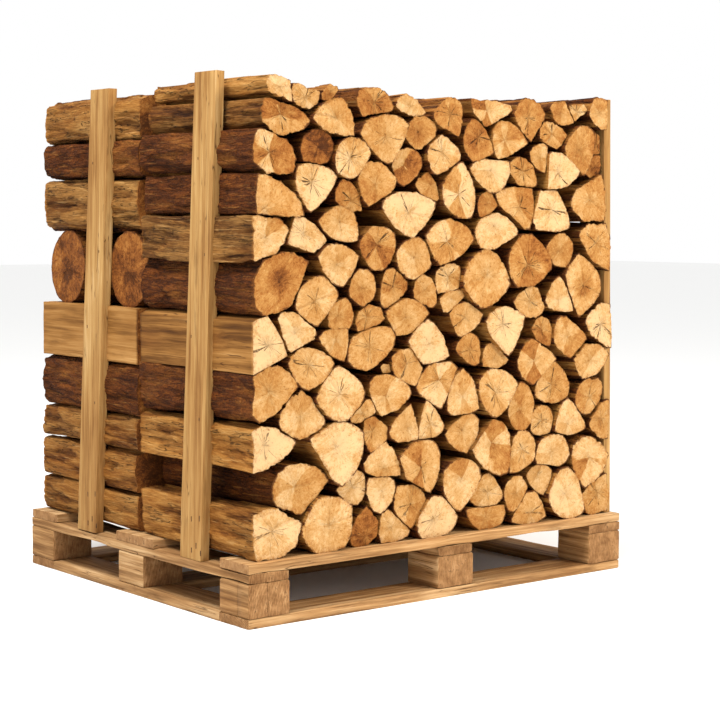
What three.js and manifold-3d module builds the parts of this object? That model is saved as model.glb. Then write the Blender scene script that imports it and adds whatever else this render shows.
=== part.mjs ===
// Firewood stacked on a pallet: a block pallet, four uprights and two tiers of split logs,
// held up at their sides by the uprights.
// Millimetres, +Z up. The origin is the middle of the footprint, on the floor.
// X runs along the long side of the pallet, Y along the logs; the front face looks to -Y.

import * as THREE from 'three';
import { mergeVertices } from 'three/addons/utils/BufferGeometryUtils.js';
import Module from 'manifold-3d';

const wasm = await Module();
wasm.setup();

// ---------------------------------------------------------------- driving dimensions

const GAP = 0.3; // clearance between touching pieces

const PALLET_LONG = 1200;
const PALLET_DEEP = 1000;
const BOARD_THICK = 22.5;
const BLOCK_HIGH = 79;
const BLOCK_WIDE = 115;
const MIDDLE_COLUMN_SHIFT = 20; // the middle blocks stand a little off centre
const DECK_MIDDLE = { y: -17, width: 170 };
const DECK_BACK_WIDE = 135;

const POST_THICK = 24;
const POST_WIDE = 88;
const LEFT_POST_SIDE = -598; // outer face of the left uprights at the foot
const RIGHT_POST_SIDE = 592; // outer face of the right uprights at the foot
const STACK_TOP = 1240;
const LEFT_POST_LEAN = 20; // how far inwards the top stands from over the foot
const RIGHT_POST_LEAN = -22;

const FRONT_ENDS = -492; // the proudest log ends on the front face
const TIER_JOINT = -6; // where the front logs end
const BACK_ENDS = 488; // the proudest log ends on the back face
const CORE_LEFT = -434; // the edge logs lie left of this
const CROSS_LENGTH = 482; // logs laid across, their ends in the left face
const CORE_LOG_WIDE = 92; // usual width of a log in a course
const COURSE_NOTCH = 14; // depth of the groove between two logs of a course
const JOIN_LAP = 1; // overlap that joins the two tiers of a course

// Heights between the courses, and between the logs of the left face.
const COURSE_LEVELS = [148, 262, 352, 442, 562, 695, 800, 912, 1015, 1110, 1180, 1236];
const FRONT_LEFT_LEVELS = [148, 265, 355, 445, 565, 695, 820, 915, 1015, 1110, 1180, 1240];
const BACK_LEFT_LEVELS = [148, 240, 342, 430, 557, 695];
const BACK_LEFT_UPPER_LEVELS = [888, 1015, 1110, 1212];

// The logs of the left face, from the bottom up: outline and width.
const FRONT_LEFT_LOGS = [
  ['shield', 128], ['half', 132], ['shield', 118], ['half', 128], ['beam', 92], ['round', 124],
  ['beam', 100], ['half', 122], ['half', 116], ['half', 104], ['beam', 96],
];
const BACK_LEFT_LOGS = [
  ['half', 118], ['shield', 128], ['half', 120], ['half', 130], ['beam', 124],
  ['beam', 122], ['half', 116], ['half', 118],
];
const BACK_LOGS_BELOW_CROSS = 5;
const CROSS_LEVELS = [695, 888];
const CROSS_LOGS = [
  { name: 'log_cross_front', outline: 'round', y: [-18, 158] },
  { name: 'log_cross_middle', outline: 'half', y: [160, 276] },
  { name: 'log_cross_back', outline: 'round', y: [278, 468] },
];
const CROSS_COURSES = [5, 6]; // courses that the crosswise logs shorten at the back
const FRONT_ROUND_ROWS = [5, 6]; // front logs that stop short of the crosswise logs

// Outlines as shares of the log's width and height, anticlockwise from the lower left.
const OUTLINES = {
  beam: [[0.05, 0], [0.95, 0], [1, 0.08], [1, 0.92], [0.95, 1], [0.05, 1], [0, 0.92], [0, 0.08]],
  shield: [[0.04, 0], [0.5, 0], [0.8, 0.14], [1, 0.5], [0.78, 0.84], [0.48, 1], [0.04, 1], [0, 0.9], [0, 0.1]],
  half: [[0.3, 0], [0.75, 0.02], [1, 0.3], [0.96, 0.8], [0.62, 1], [0.3, 0.97], [0.08, 0.8], [0, 0.5], [0.08, 0.18]],
};

// ---------------------------------------------------------------- finishes

const finishes = {
  pallet: { color: 0xa98458, roughness: 0.85, metalness: 0 },
  post: { color: 0xd9b277, roughness: 0.7, metalness: 0 },
  split: { color: 0xd8a55f, roughness: 0.85, metalness: 0 },
  bark: { color: 0x7a5a3c, roughness: 0.95, metalness: 0 },
  ends: { color: 0xe2b06a, roughness: 0.85, metalness: 0 },
};

// ---------------------------------------------------------------- helpers

function piece(name, geometry, finish, x = 0, y = 0, z = 0) {
  const mesh = new THREE.Mesh(geometry, new THREE.MeshStandardMaterial(finishes[finish]));
  mesh.name = name;
  mesh.position.set(x, y, z);
  return mesh;
}

// A box given by its low and high corners.
function slab(name, finish, low, high) {
  const size = high.map((value, i) => value - low[i]);
  const centre = high.map((value, i) => (value + low[i]) / 2);
  return piece(name, new THREE.BoxGeometry(...size), finish, ...centre);
}

// An outline in X and Z, drawn out along Y from its origin.
function alongY(shape, length) {
  const geometry = new THREE.ExtrudeGeometry(shape, { depth: length, bevelEnabled: false, curveSegments: 8 });
  geometry.rotateX(Math.PI / 2);
  geometry.translate(0, length, 0);
  return geometry;
}

// A log's outline, its lower left corner at the origin.
function logShape(kind, width, height) {
  if (kind === 'round') {
    const shape = new THREE.Shape();
    shape.absellipse(width / 2, height / 2, width / 2, height / 2, 0, 2 * Math.PI);
    return shape;
  }
  return new THREE.Shape(OUTLINES[kind].map(([u, v]) => new THREE.Vector2(u * width, v * height)));
}

// A repeatable stream of numbers from 0 to 1.
function stream(seed) {
  let state = seed;
  return () => {
    state = (state * 16807) % 2147483647;
    return state / 2147483647;
  };
}

function toSolid(geometry) {
  const bare = geometry.clone();
  bare.deleteAttribute('normal');
  bare.deleteAttribute('uv');
  const merged = mergeVertices(bare, 1e-4);
  const mesh = new wasm.Mesh({
    numProp: 3,
    vertProperties: new Float32Array(merged.attributes.position.array),
    triVerts: new Uint32Array(merged.index.array),
  });
  return new wasm.Manifold(mesh);
}

function toGeometry(solid) {
  const mesh = solid.getMesh();
  const geometry = new THREE.BufferGeometry();
  geometry.setAttribute('position', new THREE.BufferAttribute(new Float32Array(mesh.vertProperties), 3));
  geometry.setIndex(new THREE.BufferAttribute(new Uint32Array(mesh.triVerts), 1));
  geometry.computeVertexNormals();
  return geometry;
}

// ---------------------------------------------------------------- pallet

const blockFoot = BOARD_THICK + GAP;
const stringerFoot = blockFoot + BLOCK_HIGH + GAP;
const stringerTop = stringerFoot + BOARD_THICK;
const deckFoot = stringerTop + GAP;
const deckTop = deckFoot + BOARD_THICK;

const sideX = PALLET_LONG / 2;
const sideY = PALLET_DEEP / 2;
const columns = {
  left: -sideX + BLOCK_WIDE / 2,
  middle: MIDDLE_COLUMN_SHIFT,
  right: sideX - BLOCK_WIDE / 2,
};
const rows = { front: -sideY + BLOCK_WIDE / 2, middle: 0, back: sideY - BLOCK_WIDE / 2 };

function board(name, x, y, foot) {
  return slab(name, 'pallet', [x[0], y[0], foot], [x[1], y[1], foot + BOARD_THICK]);
}

function makePallet() {
  const pallet = new THREE.Group();
  const full = [-sideX, sideX];
  const half = BLOCK_WIDE / 2;
  const between = [-sideY + BLOCK_WIDE + GAP, sideY - BLOCK_WIDE - GAP];
  const inside = [-sideX + BLOCK_WIDE + GAP, sideX - BLOCK_WIDE - GAP];

  pallet.add(
    board('base_board_front', full, [-sideY, -sideY + BLOCK_WIDE], 0),
    board('base_board_back', full, [sideY - BLOCK_WIDE, sideY], 0),
    board('base_board_left', [-sideX, -sideX + BLOCK_WIDE], between, 0),
    board('base_board_right', [sideX - BLOCK_WIDE, sideX], between, 0),
    board('base_board_middle', inside, [-half, half], 0),
  );
  for (const [row, y] of Object.entries(rows)) {
    for (const [column, x] of Object.entries(columns)) {
      const low = [x - half, y - half, blockFoot];
      const high = [x + half, y + half, blockFoot + BLOCK_HIGH];
      pallet.add(slab(`block_${row}_${column}`, 'pallet', low, high));
    }
  }
  for (const [column, x] of Object.entries(columns)) {
    pallet.add(board(`stringer_${column}`, [x - half, x + half], [-sideY, sideY], stringerFoot));
  }
  const middle = [DECK_MIDDLE.y - DECK_MIDDLE.width / 2, DECK_MIDDLE.y + DECK_MIDDLE.width / 2];
  pallet.add(
    board('deck_board_front', full, [-sideY, -sideY + BLOCK_WIDE], deckFoot),
    board('deck_board_middle', full, middle, deckFoot),
    board('deck_board_back', full, [sideY - DECK_BACK_WIDE, sideY], deckFoot),
  );
  return pallet;
}

// ---------------------------------------------------------------- uprights

// The left uprights stand on the stringer, in the gaps of the deck; the right ones on the deck.
const leftStand = { x: LEFT_POST_SIDE, foot: stringerTop + GAP, leanX: LEFT_POST_LEAN };
const rightStand = { x: RIGHT_POST_SIDE - POST_THICK, foot: deckTop + GAP, leanX: RIGHT_POST_LEAN };
const uprights = [
  { name: 'post_left_front', y: -260, top: 1252, leanY: -38, ...leftStand },
  { name: 'post_left_back', y: 218, top: 1237, leanY: -46, ...leftStand },
  { name: 'post_right_front', y: -428, top: 1232, leanY: 0, ...rightStand },
  { name: 'post_right_back', y: 432, top: 1236, leanY: 0, ...rightStand },
];

// A leaning board whose foot and top are sawn level.
function makeUpright({ name, x, y, foot, top, leanX, leanY }) {
  const high = top - foot;
  const geometry = new THREE.BoxGeometry(POST_THICK, POST_WIDE, high);
  geometry.translate(POST_THICK / 2, 0, high / 2);
  const slope = new THREE.Matrix4().set(
    1, 0, leanX / high, 0,
    0, 1, leanY / high, 0,
    0, 0, 1, 0,
    0, 0, 0, 1,
  );
  geometry.applyMatrix4(slope);
  return piece(name, geometry, 'post', x, y, foot);
}

// Where the stack may reach at height z, between the leaning uprights.
function leftLimit(z) {
  const share = (z - stringerTop) / (STACK_TOP - stringerTop);
  return LEFT_POST_SIDE + POST_THICK + LEFT_POST_LEAN * share + GAP;
}

function rightLimit(z) {
  const share = (z - deckTop) / (STACK_TOP - deckTop);
  return RIGHT_POST_SIDE - POST_THICK + RIGHT_POST_LEAN * share - GAP;
}

// ---------------------------------------------------------------- logs of the left face

const barkOutlines = ['half', 'round'];

function makeEdgeLog(name, [outline, width], [low, high], [y0, y1]) {
  const height = high - low - GAP;
  const finish = barkOutlines.includes(outline) ? 'bark' : 'split';
  return piece(name, alongY(logShape(outline, width, height), y1 - y0), finish, leftLimit(high), y0, low + GAP);
}

function makeFrontLeftLogs() {
  const group = new THREE.Group();
  FRONT_LEFT_LOGS.forEach((log, row) => {
    const levels = FRONT_LEFT_LEVELS.slice(row, row + 2);
    const end = FRONT_ROUND_ROWS.includes(row) ? CROSS_LOGS[0].y[0] - GAP : TIER_JOINT;
    const name = `log_front_left_${String(row + 1).padStart(2, '0')}`;
    group.add(makeEdgeLog(name, log, levels, [FRONT_ENDS, end]));
  });
  return group;
}

function makeBackLeftLogs() {
  const group = new THREE.Group();
  BACK_LEFT_LOGS.forEach((log, row) => {
    const above = row - BACK_LOGS_BELOW_CROSS;
    const levels = above < 0 ? BACK_LEFT_LEVELS.slice(row, row + 2) : BACK_LEFT_UPPER_LEVELS.slice(above, above + 2);
    const name = `log_back_left_${String(row + 1).padStart(2, '0')}`;
    group.add(makeEdgeLog(name, log, levels, [TIER_JOINT + GAP, BACK_ENDS]));
  });
  return group;
}

// Logs laid across the others, along X, their sawn ends in the left face.
function makeCrossLogs() {
  const group = new THREE.Group();
  const [low, high] = CROSS_LEVELS;
  for (const { name, outline, y } of CROSS_LOGS) {
    const log = piece(name, alongY(logShape(outline, y[1] - y[0], high - low - GAP), CROSS_LENGTH), 'bark');
    log.rotation.z = Math.PI / 2;
    log.position.set(leftLimit(high) + CROSS_LENGTH, y[0], low + GAP);
    group.add(log);
  }
  return group;
}

// ---------------------------------------------------------------- courses

// The outline of a course of logs lying side by side, with a groove between each two.
function courseShape(x0, x1, z0, z1, random) {
  const count = Math.round((x1 - x0) / CORE_LOG_WIDE);
  const shares = Array.from({ length: count }, () => 0.7 + 0.6 * random());
  const total = shares.reduce((sum, share) => sum + share, 0);
  const top = [];
  const bottom = [];
  let x = x0;
  for (const share of shares) {
    const width = ((x1 - x0) * share) / total;
    const notch = COURSE_NOTCH * (0.6 + 0.8 * random());
    top.push([x, z1 - notch], [x + 0.3 * width, z1], [x + 0.7 * width, z1]);
    bottom.push([x, z0 + notch], [x + 0.25 * width, z0], [x + 0.75 * width, z0]);
    x += width;
  }
  top.push([x1, z1 - COURSE_NOTCH]);
  bottom.push([x1, z0 + COURSE_NOTCH]);
  return new THREE.Shape([...bottom, ...top.reverse()].map(([px, pz]) => new THREE.Vector2(px, pz)));
}

// One solid for the logs of a course, front and back tier, right of the edge logs.
function makeCourse(row) {
  const random = stream(101 + 37 * row);
  const low = COURSE_LEVELS[row] + GAP;
  const high = COURSE_LEVELS[row + 1];
  const right = rightLimit(high);
  const crossed = CROSS_COURSES.includes(row);
  const backLeft = crossed ? leftLimit(CROSS_LEVELS[1]) + CROSS_LENGTH + 2 * GAP : CORE_LEFT;
  const joint = crossed ? CROSS_LOGS[0].y[0] - GAP : TIER_JOINT;
  const front = alongY(courseShape(CORE_LEFT, right, low, high, random), joint - FRONT_ENDS);
  front.translate(0, FRONT_ENDS, 0);
  const back = alongY(courseShape(backLeft, right, low, high, random), BACK_ENDS - joint + JOIN_LAP);
  back.translate(0, joint - JOIN_LAP, 0);
  const name = `course_${String(row + 1).padStart(2, '0')}`;
  return piece(name, toGeometry(toSolid(front).add(toSolid(back))), 'ends');
}

function makeCourses() {
  const group = new THREE.Group();
  for (let row = 0; row < COURSE_LEVELS.length - 1; row += 1) group.add(makeCourse(row));
  return group;
}

// ---------------------------------------------------------------- the whole stack

const firewood = new THREE.Group();
firewood.add(makePallet());
for (const upright of uprights) firewood.add(makeUpright(upright));
firewood.add(makeFrontLeftLogs(), makeBackLeftLogs(), makeCrossLogs(), makeCourses());

export default firewood;
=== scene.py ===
"""Palletised firewood stack: two tiers of split logs on a pallet, held by four uprights."""

import logging
import math
import random
from bisect import bisect_left
from dataclasses import dataclass, field
from enum import Enum, IntEnum

import bmesh
import bpy
from mathutils import Matrix, Vector, noise


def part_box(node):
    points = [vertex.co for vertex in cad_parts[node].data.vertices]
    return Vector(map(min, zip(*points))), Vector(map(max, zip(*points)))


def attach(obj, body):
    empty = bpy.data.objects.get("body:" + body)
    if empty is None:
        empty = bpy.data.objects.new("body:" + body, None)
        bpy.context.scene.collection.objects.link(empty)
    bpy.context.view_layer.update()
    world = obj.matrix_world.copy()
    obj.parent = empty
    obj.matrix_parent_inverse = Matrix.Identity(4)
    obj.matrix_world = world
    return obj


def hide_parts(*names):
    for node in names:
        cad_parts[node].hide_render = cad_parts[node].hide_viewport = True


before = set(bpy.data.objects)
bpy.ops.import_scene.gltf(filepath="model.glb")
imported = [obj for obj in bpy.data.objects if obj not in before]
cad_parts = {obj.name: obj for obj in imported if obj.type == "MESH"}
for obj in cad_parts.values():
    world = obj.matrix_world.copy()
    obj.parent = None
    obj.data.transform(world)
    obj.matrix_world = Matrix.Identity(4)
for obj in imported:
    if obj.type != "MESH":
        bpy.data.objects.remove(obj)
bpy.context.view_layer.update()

log = logging.getLogger("firewood")

CM = 0.01
MM = 0.001
TAU = math.tau

FRONT_END_PLANE = -0.493
FRONT_TIER_BACK = -0.007
BACK_TIER_FRONT = 0.007
BACK_END_PLANE = 0.488
LEFT_FACE = -0.576
RIGHT_FACE = 0.577
DECK_TOP = 0.1475

JOINT_ZONE = 0.03  # an end this near the joint between the tiers is hidden
END_SLACK = 0.1 * MM
NEIGHBOUR_REACH = 0.24  # logs whose middles are farther apart can't touch
SHORTEST_SIDE = 1e-6
# ends at the joint between the tiers take this dark tone: painted shade of the deep gap between the tiers
JOINT_SHADE_TONE = 0.95
# distance between the slices of a sawn piece, along it and across it
LONG_PITCH = 0.022
CROSS_PITCH = 0.014
CRACK_HALF = 1.1 * MM
# distance between the points of a log's outline
FINE_PITCH = 4 * MM
COARSE_PITCH = 4.6 * MM
# distance between the rings along a log: on the left face, elsewhere in sight, and hidden
NODE_SPACING = 0.009
FINE_SPACING = 0.012
COARSE_SPACING = 0.045
# sizes of the rings that close a log's end, as shares of its outline
END_RINGS = (0.94, 0.8, 0.62, 0.42, 0.2)
HIDDEN_END_RINGS = (0.9, 0.45)
DRY_SHEEN = 0.12  # specular level of dry, matt wood

Point = tuple[float, float]
Stops = tuple[tuple[float, str], ...]


def tint(code: str) -> tuple[float, float, float, float]:
    """Return the scene-linear colour of a six-digit hex code."""
    parts = [int(code[i : i + 2], 16) / 255 for i in (0, 2, 4)]
    lin = [p / 12.92 if p <= 0.04045 else ((p + 0.055) / 1.055) ** 2.4 for p in parts]
    return (lin[0], lin[1], lin[2], 1.0)


# ---------------------------------------------------------------- shader graph


class Wire:
    """A shader socket that arithmetic can be written on."""

    def __init__(self, graph: "Graph", socket: bpy.types.NodeSocket) -> None:
        """Hold the socket and the graph that it belongs to."""
        self.graph = graph
        self.socket = socket

    def _math(self, operation: str, a: object, b: object) -> "Wire":
        """Return a new Math node's output for a and b."""
        return self.graph.node("ShaderNodeMath", {"operation": operation}, {0: a, 1: b})

    def __add__(self, other: object) -> "Wire":
        """Return self + other."""
        return self._math("ADD", self, other)

    def __radd__(self, other: object) -> "Wire":
        """Return other + self."""
        return self._math("ADD", other, self)

    def __sub__(self, other: object) -> "Wire":
        """Return self - other."""
        return self._math("SUBTRACT", self, other)

    def __rsub__(self, other: object) -> "Wire":
        """Return other - self."""
        return self._math("SUBTRACT", other, self)

    def __mul__(self, other: object) -> "Wire":
        """Return self * other."""
        return self._math("MULTIPLY", self, other)

    def __rmul__(self, other: object) -> "Wire":
        """Return other * self."""
        return self._math("MULTIPLY", other, self)

    def one(self, operation: str) -> "Wire":
        """Return a one-input Math operation on self, such as SINE."""
        return self.graph.node("ShaderNodeMath", {"operation": operation}, {0: self})

    def between(self, low: float, high: float, out_low: float = 0.0, out_high: float = 1.0) -> "Wire":
        """Return self mapped smoothly from low..high to out_low..out_high."""
        return self.graph.node(
            "ShaderNodeMapRange",
            {"interpolation_type": "SMOOTHSTEP"},
            {"Value": self, "From Min": low, "From Max": high, "To Min": out_low, "To Max": out_high},
        )


class Graph:
    """One material's node tree, built by expressions."""

    def __init__(self, name: str) -> None:
        """Create the material and clear its tree.

        Args:
            name: The material's name.
        """
        self.material = bpy.data.materials.new(name)
        self.material.use_nodes = True
        self.tree = self.material.node_tree
        self.tree.nodes.clear()

    def node(
        self,
        kind: str,
        settings: dict[str, object] | None = None,
        inputs: dict[object, object] | None = None,
        out: object = 0,
    ) -> Wire:
        """Add a node, set it up and wire it.

        Args:
            kind: The node's type.
            settings: Properties to set first; "stops" fills a ramp.
            inputs: Values or Wires by socket name or index.
            out: The output socket's name or index.

        Returns:
            The chosen output, or the first input of a node without outputs.
        """
        made = self.tree.nodes.new(kind)
        for key, value in (settings or {}).items():
            if key == "stops":
                self._fill_ramp(made.color_ramp, value)
            else:
                setattr(made, key, value)
        for key, value in (inputs or {}).items():
            socket = made.inputs[key]
            if isinstance(value, Wire):
                self.tree.links.new(value.socket, socket)
            else:
                socket.default_value = value
        return Wire(self, made.outputs[out] if len(made.outputs) else made.inputs[0])

    @staticmethod
    def _fill_ramp(ramp: bpy.types.ColorRamp, stops: Stops) -> None:
        """Set a ramp's stops.

        Args:
            ramp: The ramp of a Color Ramp node.
            stops: Positions with hex colours.
        """
        while len(ramp.elements) < len(stops):
            ramp.elements.new(1.0)
        for element, (place, code) in zip(ramp.elements, stops):
            element.position = place
            element.color = tint(code)

    def ramp(self, factor: Wire, stops: Stops) -> Wire:
        """Return the colour of stops at factor."""
        return self.node("ShaderNodeValToRGB", {"stops": stops}, {"Fac": factor})

    def noise(self, vector: Wire, scale: float, detail: float = 3.0, rough: float = 0.55, bend: float = 0.0) -> Wire:
        """Return a noise value from 0 to 1 over vector."""
        return self.node(
            "ShaderNodeTexNoise",
            {"noise_dimensions": "3D"},
            {"Vector": vector, "Scale": scale, "Detail": detail, "Roughness": rough, "Distortion": bend},
        )

    def axes(self, vector: Wire) -> list[Wire]:
        """Return the three components of a vector."""
        return [self.node("ShaderNodeSeparateXYZ", {}, {0: vector}, out=index) for index in range(3)]

    def attribute(self, name: str) -> list[Wire]:
        """Return the three components of a mesh attribute."""
        return self.axes(self.node("ShaderNodeAttribute", {"attribute_name": name}, out="Vector"))

    def pack(self, x: object, y: object, z: object) -> Wire:
        """Return a vector of three values."""
        return self.node("ShaderNodeCombineXYZ", {}, {0: x, 1: y, 2: z})

    def mix(self, factor: object, a: object, b: object) -> Wire:
        """Return colour a mixed towards colour b by factor."""
        return self.node(
            "ShaderNodeMix",
            {"data_type": "RGBA", "blend_type": "MIX", "clamp_factor": True},
            {0: factor, 6: a, 7: b},
            out=2,
        )

    def vector(self, operation: str, a: Wire, out: object = 0) -> Wire:
        """Return a one-input Vector Math operation on a."""
        return self.node("ShaderNodeVectorMath", {"operation": operation}, {0: a}, out=out)

    def finish(
        self, colour: object, rough: object, height: Wire | None = None, relief: float = 2.0 * MM
    ) -> bpy.types.Material:
        """Close the tree with a Principled shader.

        Args:
            colour: Base colour.
            rough: Roughness.
            height: Bump height from 0 to 1, or None.
            relief: Depth in metres of the bump's full height.

        Returns:
            The material.
        """
        inputs: dict[object, object] = {"Base Color": colour, "Roughness": rough, "Specular IOR Level": DRY_SHEEN}
        if height is not None:
            bump = {"Strength": 1.0, "Distance": relief, "Height": height}
            inputs["Normal"] = self.node("ShaderNodeBump", {}, bump)
        shader = self.node("ShaderNodeBsdfPrincipled", {}, inputs)
        self.node("ShaderNodeOutputMaterial", {}, {"Surface": shader})
        return self.material


# -------------------------------------------------------------------- finishes


@dataclass(frozen=True)
class EndGrain:
    """Sawn end of a log: growth rings, rays, drying checks and warm colour patches."""

    name: str = "end_grain"
    ring_pitch: float = 3.2 * MM
    stops: Stops = (
        (0.0, "D0AC7C"),
        (0.22, "BF945D"),
        (0.45, "AE7C41"),
        (0.68, "955D28"),
        (0.86, "723F18"),
        (1.0, "4A280F"),
    )

    def make(self) -> bpy.types.Material:
        """Return the material."""
        g = Graph(self.name)
        gx, gy, _ = g.attribute("grain")
        tone, seed, rim = g.attribute("trait")
        heart, split_tone, barked = g.attribute("mood")
        across = g.pack(gx, gy, seed * 3.7)
        wander = g.noise(across, 26.0, 2.0) - 0.5
        kinks = g.noise(across, 130.0, 3.0, 0.7) - 0.5
        radius = g.vector("LENGTH", g.pack(gx, gy, 0.0), out="Value")
        ux, uy, _ = g.axes(g.vector("NORMALIZE", g.pack(gx + kinks * 0.004, gy - kinks * 0.004, 0.0)))
        heading = g.pack(ux + wander * 0.45, uy - wander * 0.35, seed * 5.3 + radius * 5.0)
        # growth rings, uneven in width
        ring_phase = radius * (TAU / self.ring_pitch) + wander * 13.0
        rings = (ring_phase.one("SINE") * 0.5 + 0.5) * g.noise(across, 60.0, 2.0).between(0.3, 0.75)
        # rays: fine streaks running out from the pith
        rays = g.noise(heading, 15.0, 3.0, 0.75).between(0.36, 0.7)
        # a part of the end that took up colour differently
        sector = g.noise(heading, 0.62, 0.0).between(0.48, 0.52)
        patch = g.noise(across, 19.0, 3.0, 0.6)
        mottle = g.noise(across, 85.0, 4.0, 0.7)
        fleck = g.noise(across, 260.0, 3.0, 0.75)
        # strokes of the saw, each end in its own direction
        turn_x, turn_y = (seed * 7.1).one("COSINE"), (seed * 7.1).one("SINE")
        sawn = g.pack(gx * turn_x + gy * turn_y, (gy * turn_x - gx * turn_y) * 0.07, seed)
        strokes = g.noise(sawn, 330.0, 3.0, 0.7)
        heartwood = (radius + wander * 0.02).between(0.012, 0.05, 1.0, 0.0) * heart
        shade = (
            tone * 0.95
            + (sector - 0.5) * split_tone * 0.75
            + (patch - 0.5) * 0.7
            + (mottle - 0.5) * 0.62
            + (rays - 0.5) * 0.17
            + (rings - 0.25) * 0.12
            + (fleck - 0.5) * 0.42
            + (strokes - 0.5) * 0.3
            + heartwood * 0.32
        )
        colour = g.ramp(shade, self.stops)
        # open checks: thin dark rays that fade before the bark; their near-black is painted shade inside the cracks
        ray = g.pack(ux + wander * 0.12, uy - wander * 0.12, seed * 3.9)
        check_line = (g.noise(ray, 2.4, 1.0, 0.5) - 0.5).one("ABSOLUTE")
        width = (0.022 - radius * 0.2) * g.noise(across, 90.0, 2.0).between(0.3, 0.6, 0.25, 1.0)
        reach = g.noise(g.pack(ux, uy, seed * 6.7), 2.2, 0.0) * 0.12 - 0.034
        dry = (seed * 12.9).one("SINE").between(-0.5, 0.9, 0.12, 1.0)
        check = (check_line - width).between(-0.006, 0.003, 1.0, 0.0) * (reach - radius).between(0.0, 0.006)
        check = check * radius.between(0.001, 0.006) * dry
        colour = g.mix(check * 0.9, colour, tint("2A1506"))
        # pith
        pith = (radius + kinks * 0.002).between(0.0014, 0.004, 1.0, 0.0) * heart.between(0.05, 0.4, 0.25, 1.0)
        colour = g.mix(pith * 0.8, colour, tint("4A270E"))
        # grime and torn fibres near the rim, and the thin line of inner bark
        fuzz = g.noise(across, 110.0, 4.0, 0.75)
        colour = g.mix(rim.between(0.62, 1.0) * fuzz.between(0.42, 0.66) * 0.62, colour, tint("8A5220"))
        line = (rim + (fuzz - 0.5) * 0.06).between(0.93, 0.975) * barked.between(0.2, 0.8, 0.25, 1.0)
        colour = g.mix(line * 0.9, colour, tint("4C280E"))
        # dirt specks
        speck = g.noise(across, 170.0, 2.0, 0.6).between(0.64, 0.74)
        colour = g.mix(speck * 0.6, colour, tint("6E3D15"))
        height = rings * 0.2 + strokes * 0.5 + fleck * 0.5 + mottle * 0.6 + rays * 0.3 - check * 1.6 - pith * 0.6
        return g.finish(colour, 0.85, height, 2.0 * MM)


@dataclass(frozen=True)
class SplitFace:
    """Riven long face: fibres running with the log, tan weathered to grey-brown."""

    name: str = "split_face"
    stops: Stops = (
        (0.0, "341A09"),
        (0.22, "613612"),
        (0.45, "8B5722"),
        (0.7, "B07A3A"),
        (1.0, "CE9F5E"),
    )

    def make(self) -> bpy.types.Material:
        """Return the material."""
        g = Graph(self.name)
        gx, gy, gw = g.attribute("grain")
        tone, seed, _ = g.attribute("trait")
        deep, weather, _ = g.attribute("mood")
        fibre = g.pack(gx, gy, gw * 0.1 + seed)
        strand = g.pack(gx, gy, gw * 0.3 + seed * 2.0)
        coarse = g.noise(fibre, 70.0, 5.0, 0.7, 0.5)
        fine = g.noise(fibre, 300.0, 4.0, 0.8, 0.3)
        blot = g.noise(strand, 17.0, 4.0, 0.65)
        fleck = g.noise(g.pack(gx, gy, gw * 0.3), 150.0, 3.0, 0.7)
        # darker where the ledges lie deep: painted shade in the recesses
        shade = 0.65 - tone * 0.3 + (coarse - 0.5) * 0.85 + (fine - 0.5) * 0.9 + (blot - 0.5) * 0.6 - deep * 0.38
        colour = g.ramp(shade, self.stops)
        grey = g.ramp(shade, ((0.0, "2A1508"), (0.35, "5C3A18"), (0.7, "946936"), (1.0, "BE945A")))
        colour = g.mix((weather + (blot - 0.5) * 1.2).between(0.15, 0.85), colour, grey)
        # cracks between the fibres, their near-black painted shade inside the gaps
        crack = g.noise(fibre, 55.0, 3.0, 0.6)
        crack = (crack - 0.5).one("ABSOLUTE").between(0.0, 0.015, 1.0, 0.0) * blot.between(0.42, 0.54)
        colour = g.mix(crack * 0.7, colour, tint("1A0C04"))
        splinter = g.noise(g.pack(gx, gy, gw * 0.05 + seed * 3.0), 190.0, 3.0, 0.7).between(0.58, 0.7)
        colour = g.mix(splinter * 0.45, colour, tint("C79A5E"))
        height = coarse * 1.1 + fine * 0.8 + fleck * 0.2 - crack * 1.2
        return g.finish(colour, 0.88, height, 7.0 * MM)


@dataclass(frozen=True)
class Bark:
    """Dry bark: long furrows, plates and torn places that show the reddish inner layer."""

    name: str = "bark"
    stops: Stops = (
        (0.0, "170903"),
        (0.3, "361A08"),
        (0.52, "582C0D"),
        (0.75, "854C19"),
        (1.0, "B27C3E"),
    )

    def make(self) -> bpy.types.Material:
        """Return the material."""
        g = Graph(self.name)
        gx, gy, gw = g.attribute("grain")
        tone, seed, _ = g.attribute("trait")
        deep, _, _ = g.attribute("mood")
        along = g.pack(gx, gy, gw * 0.16 + seed)
        plate = g.noise(along, 52.0, 5.0, 0.7, 0.4)
        furrow = (g.noise(along, 80.0, 3.0, 0.6, 0.3) - 0.5).one("ABSOLUTE").between(0.0, 0.07)
        grit = g.noise(g.pack(gx, gy, gw * 0.5), 280.0, 4.0, 0.75)
        torn = g.noise(g.pack(gx, gy, gw * 0.35 + seed * 1.3), 11.0, 2.0, 0.5)
        # darker where the ledges lie deep: painted shade in the recesses
        shade = 0.12 + plate * 0.62 + furrow * 0.1 + (grit - 0.5) * 0.7 - deep * 0.2
        colour = g.ramp(shade, self.stops)
        inner = g.ramp(plate + (grit - 0.5) * 0.5, ((0.25, "3E1D09"), (0.5, "6E3D16"), (0.8, "A0692F")))
        colour = g.mix((torn + tone * 0.05 + deep * 0.2 - 0.06).between(0.52, 0.66) * 0.9, colour, inner)
        fibre = g.noise(g.pack(gx, gy, gw * 0.07 + seed * 2.3), 150.0, 4.0, 0.75)
        colour = g.mix(fibre.between(0.57, 0.7) * 0.5, colour, tint("A87339"))
        colour = g.mix(fibre.between(0.3, 0.42, 1.0, 0.0) * 0.65, colour, tint("170A03"))
        height = plate + furrow * 0.8 + grit * 0.4 + fibre * 0.7
        return g.finish(colour, 0.92, height, 8.0 * MM)


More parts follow.
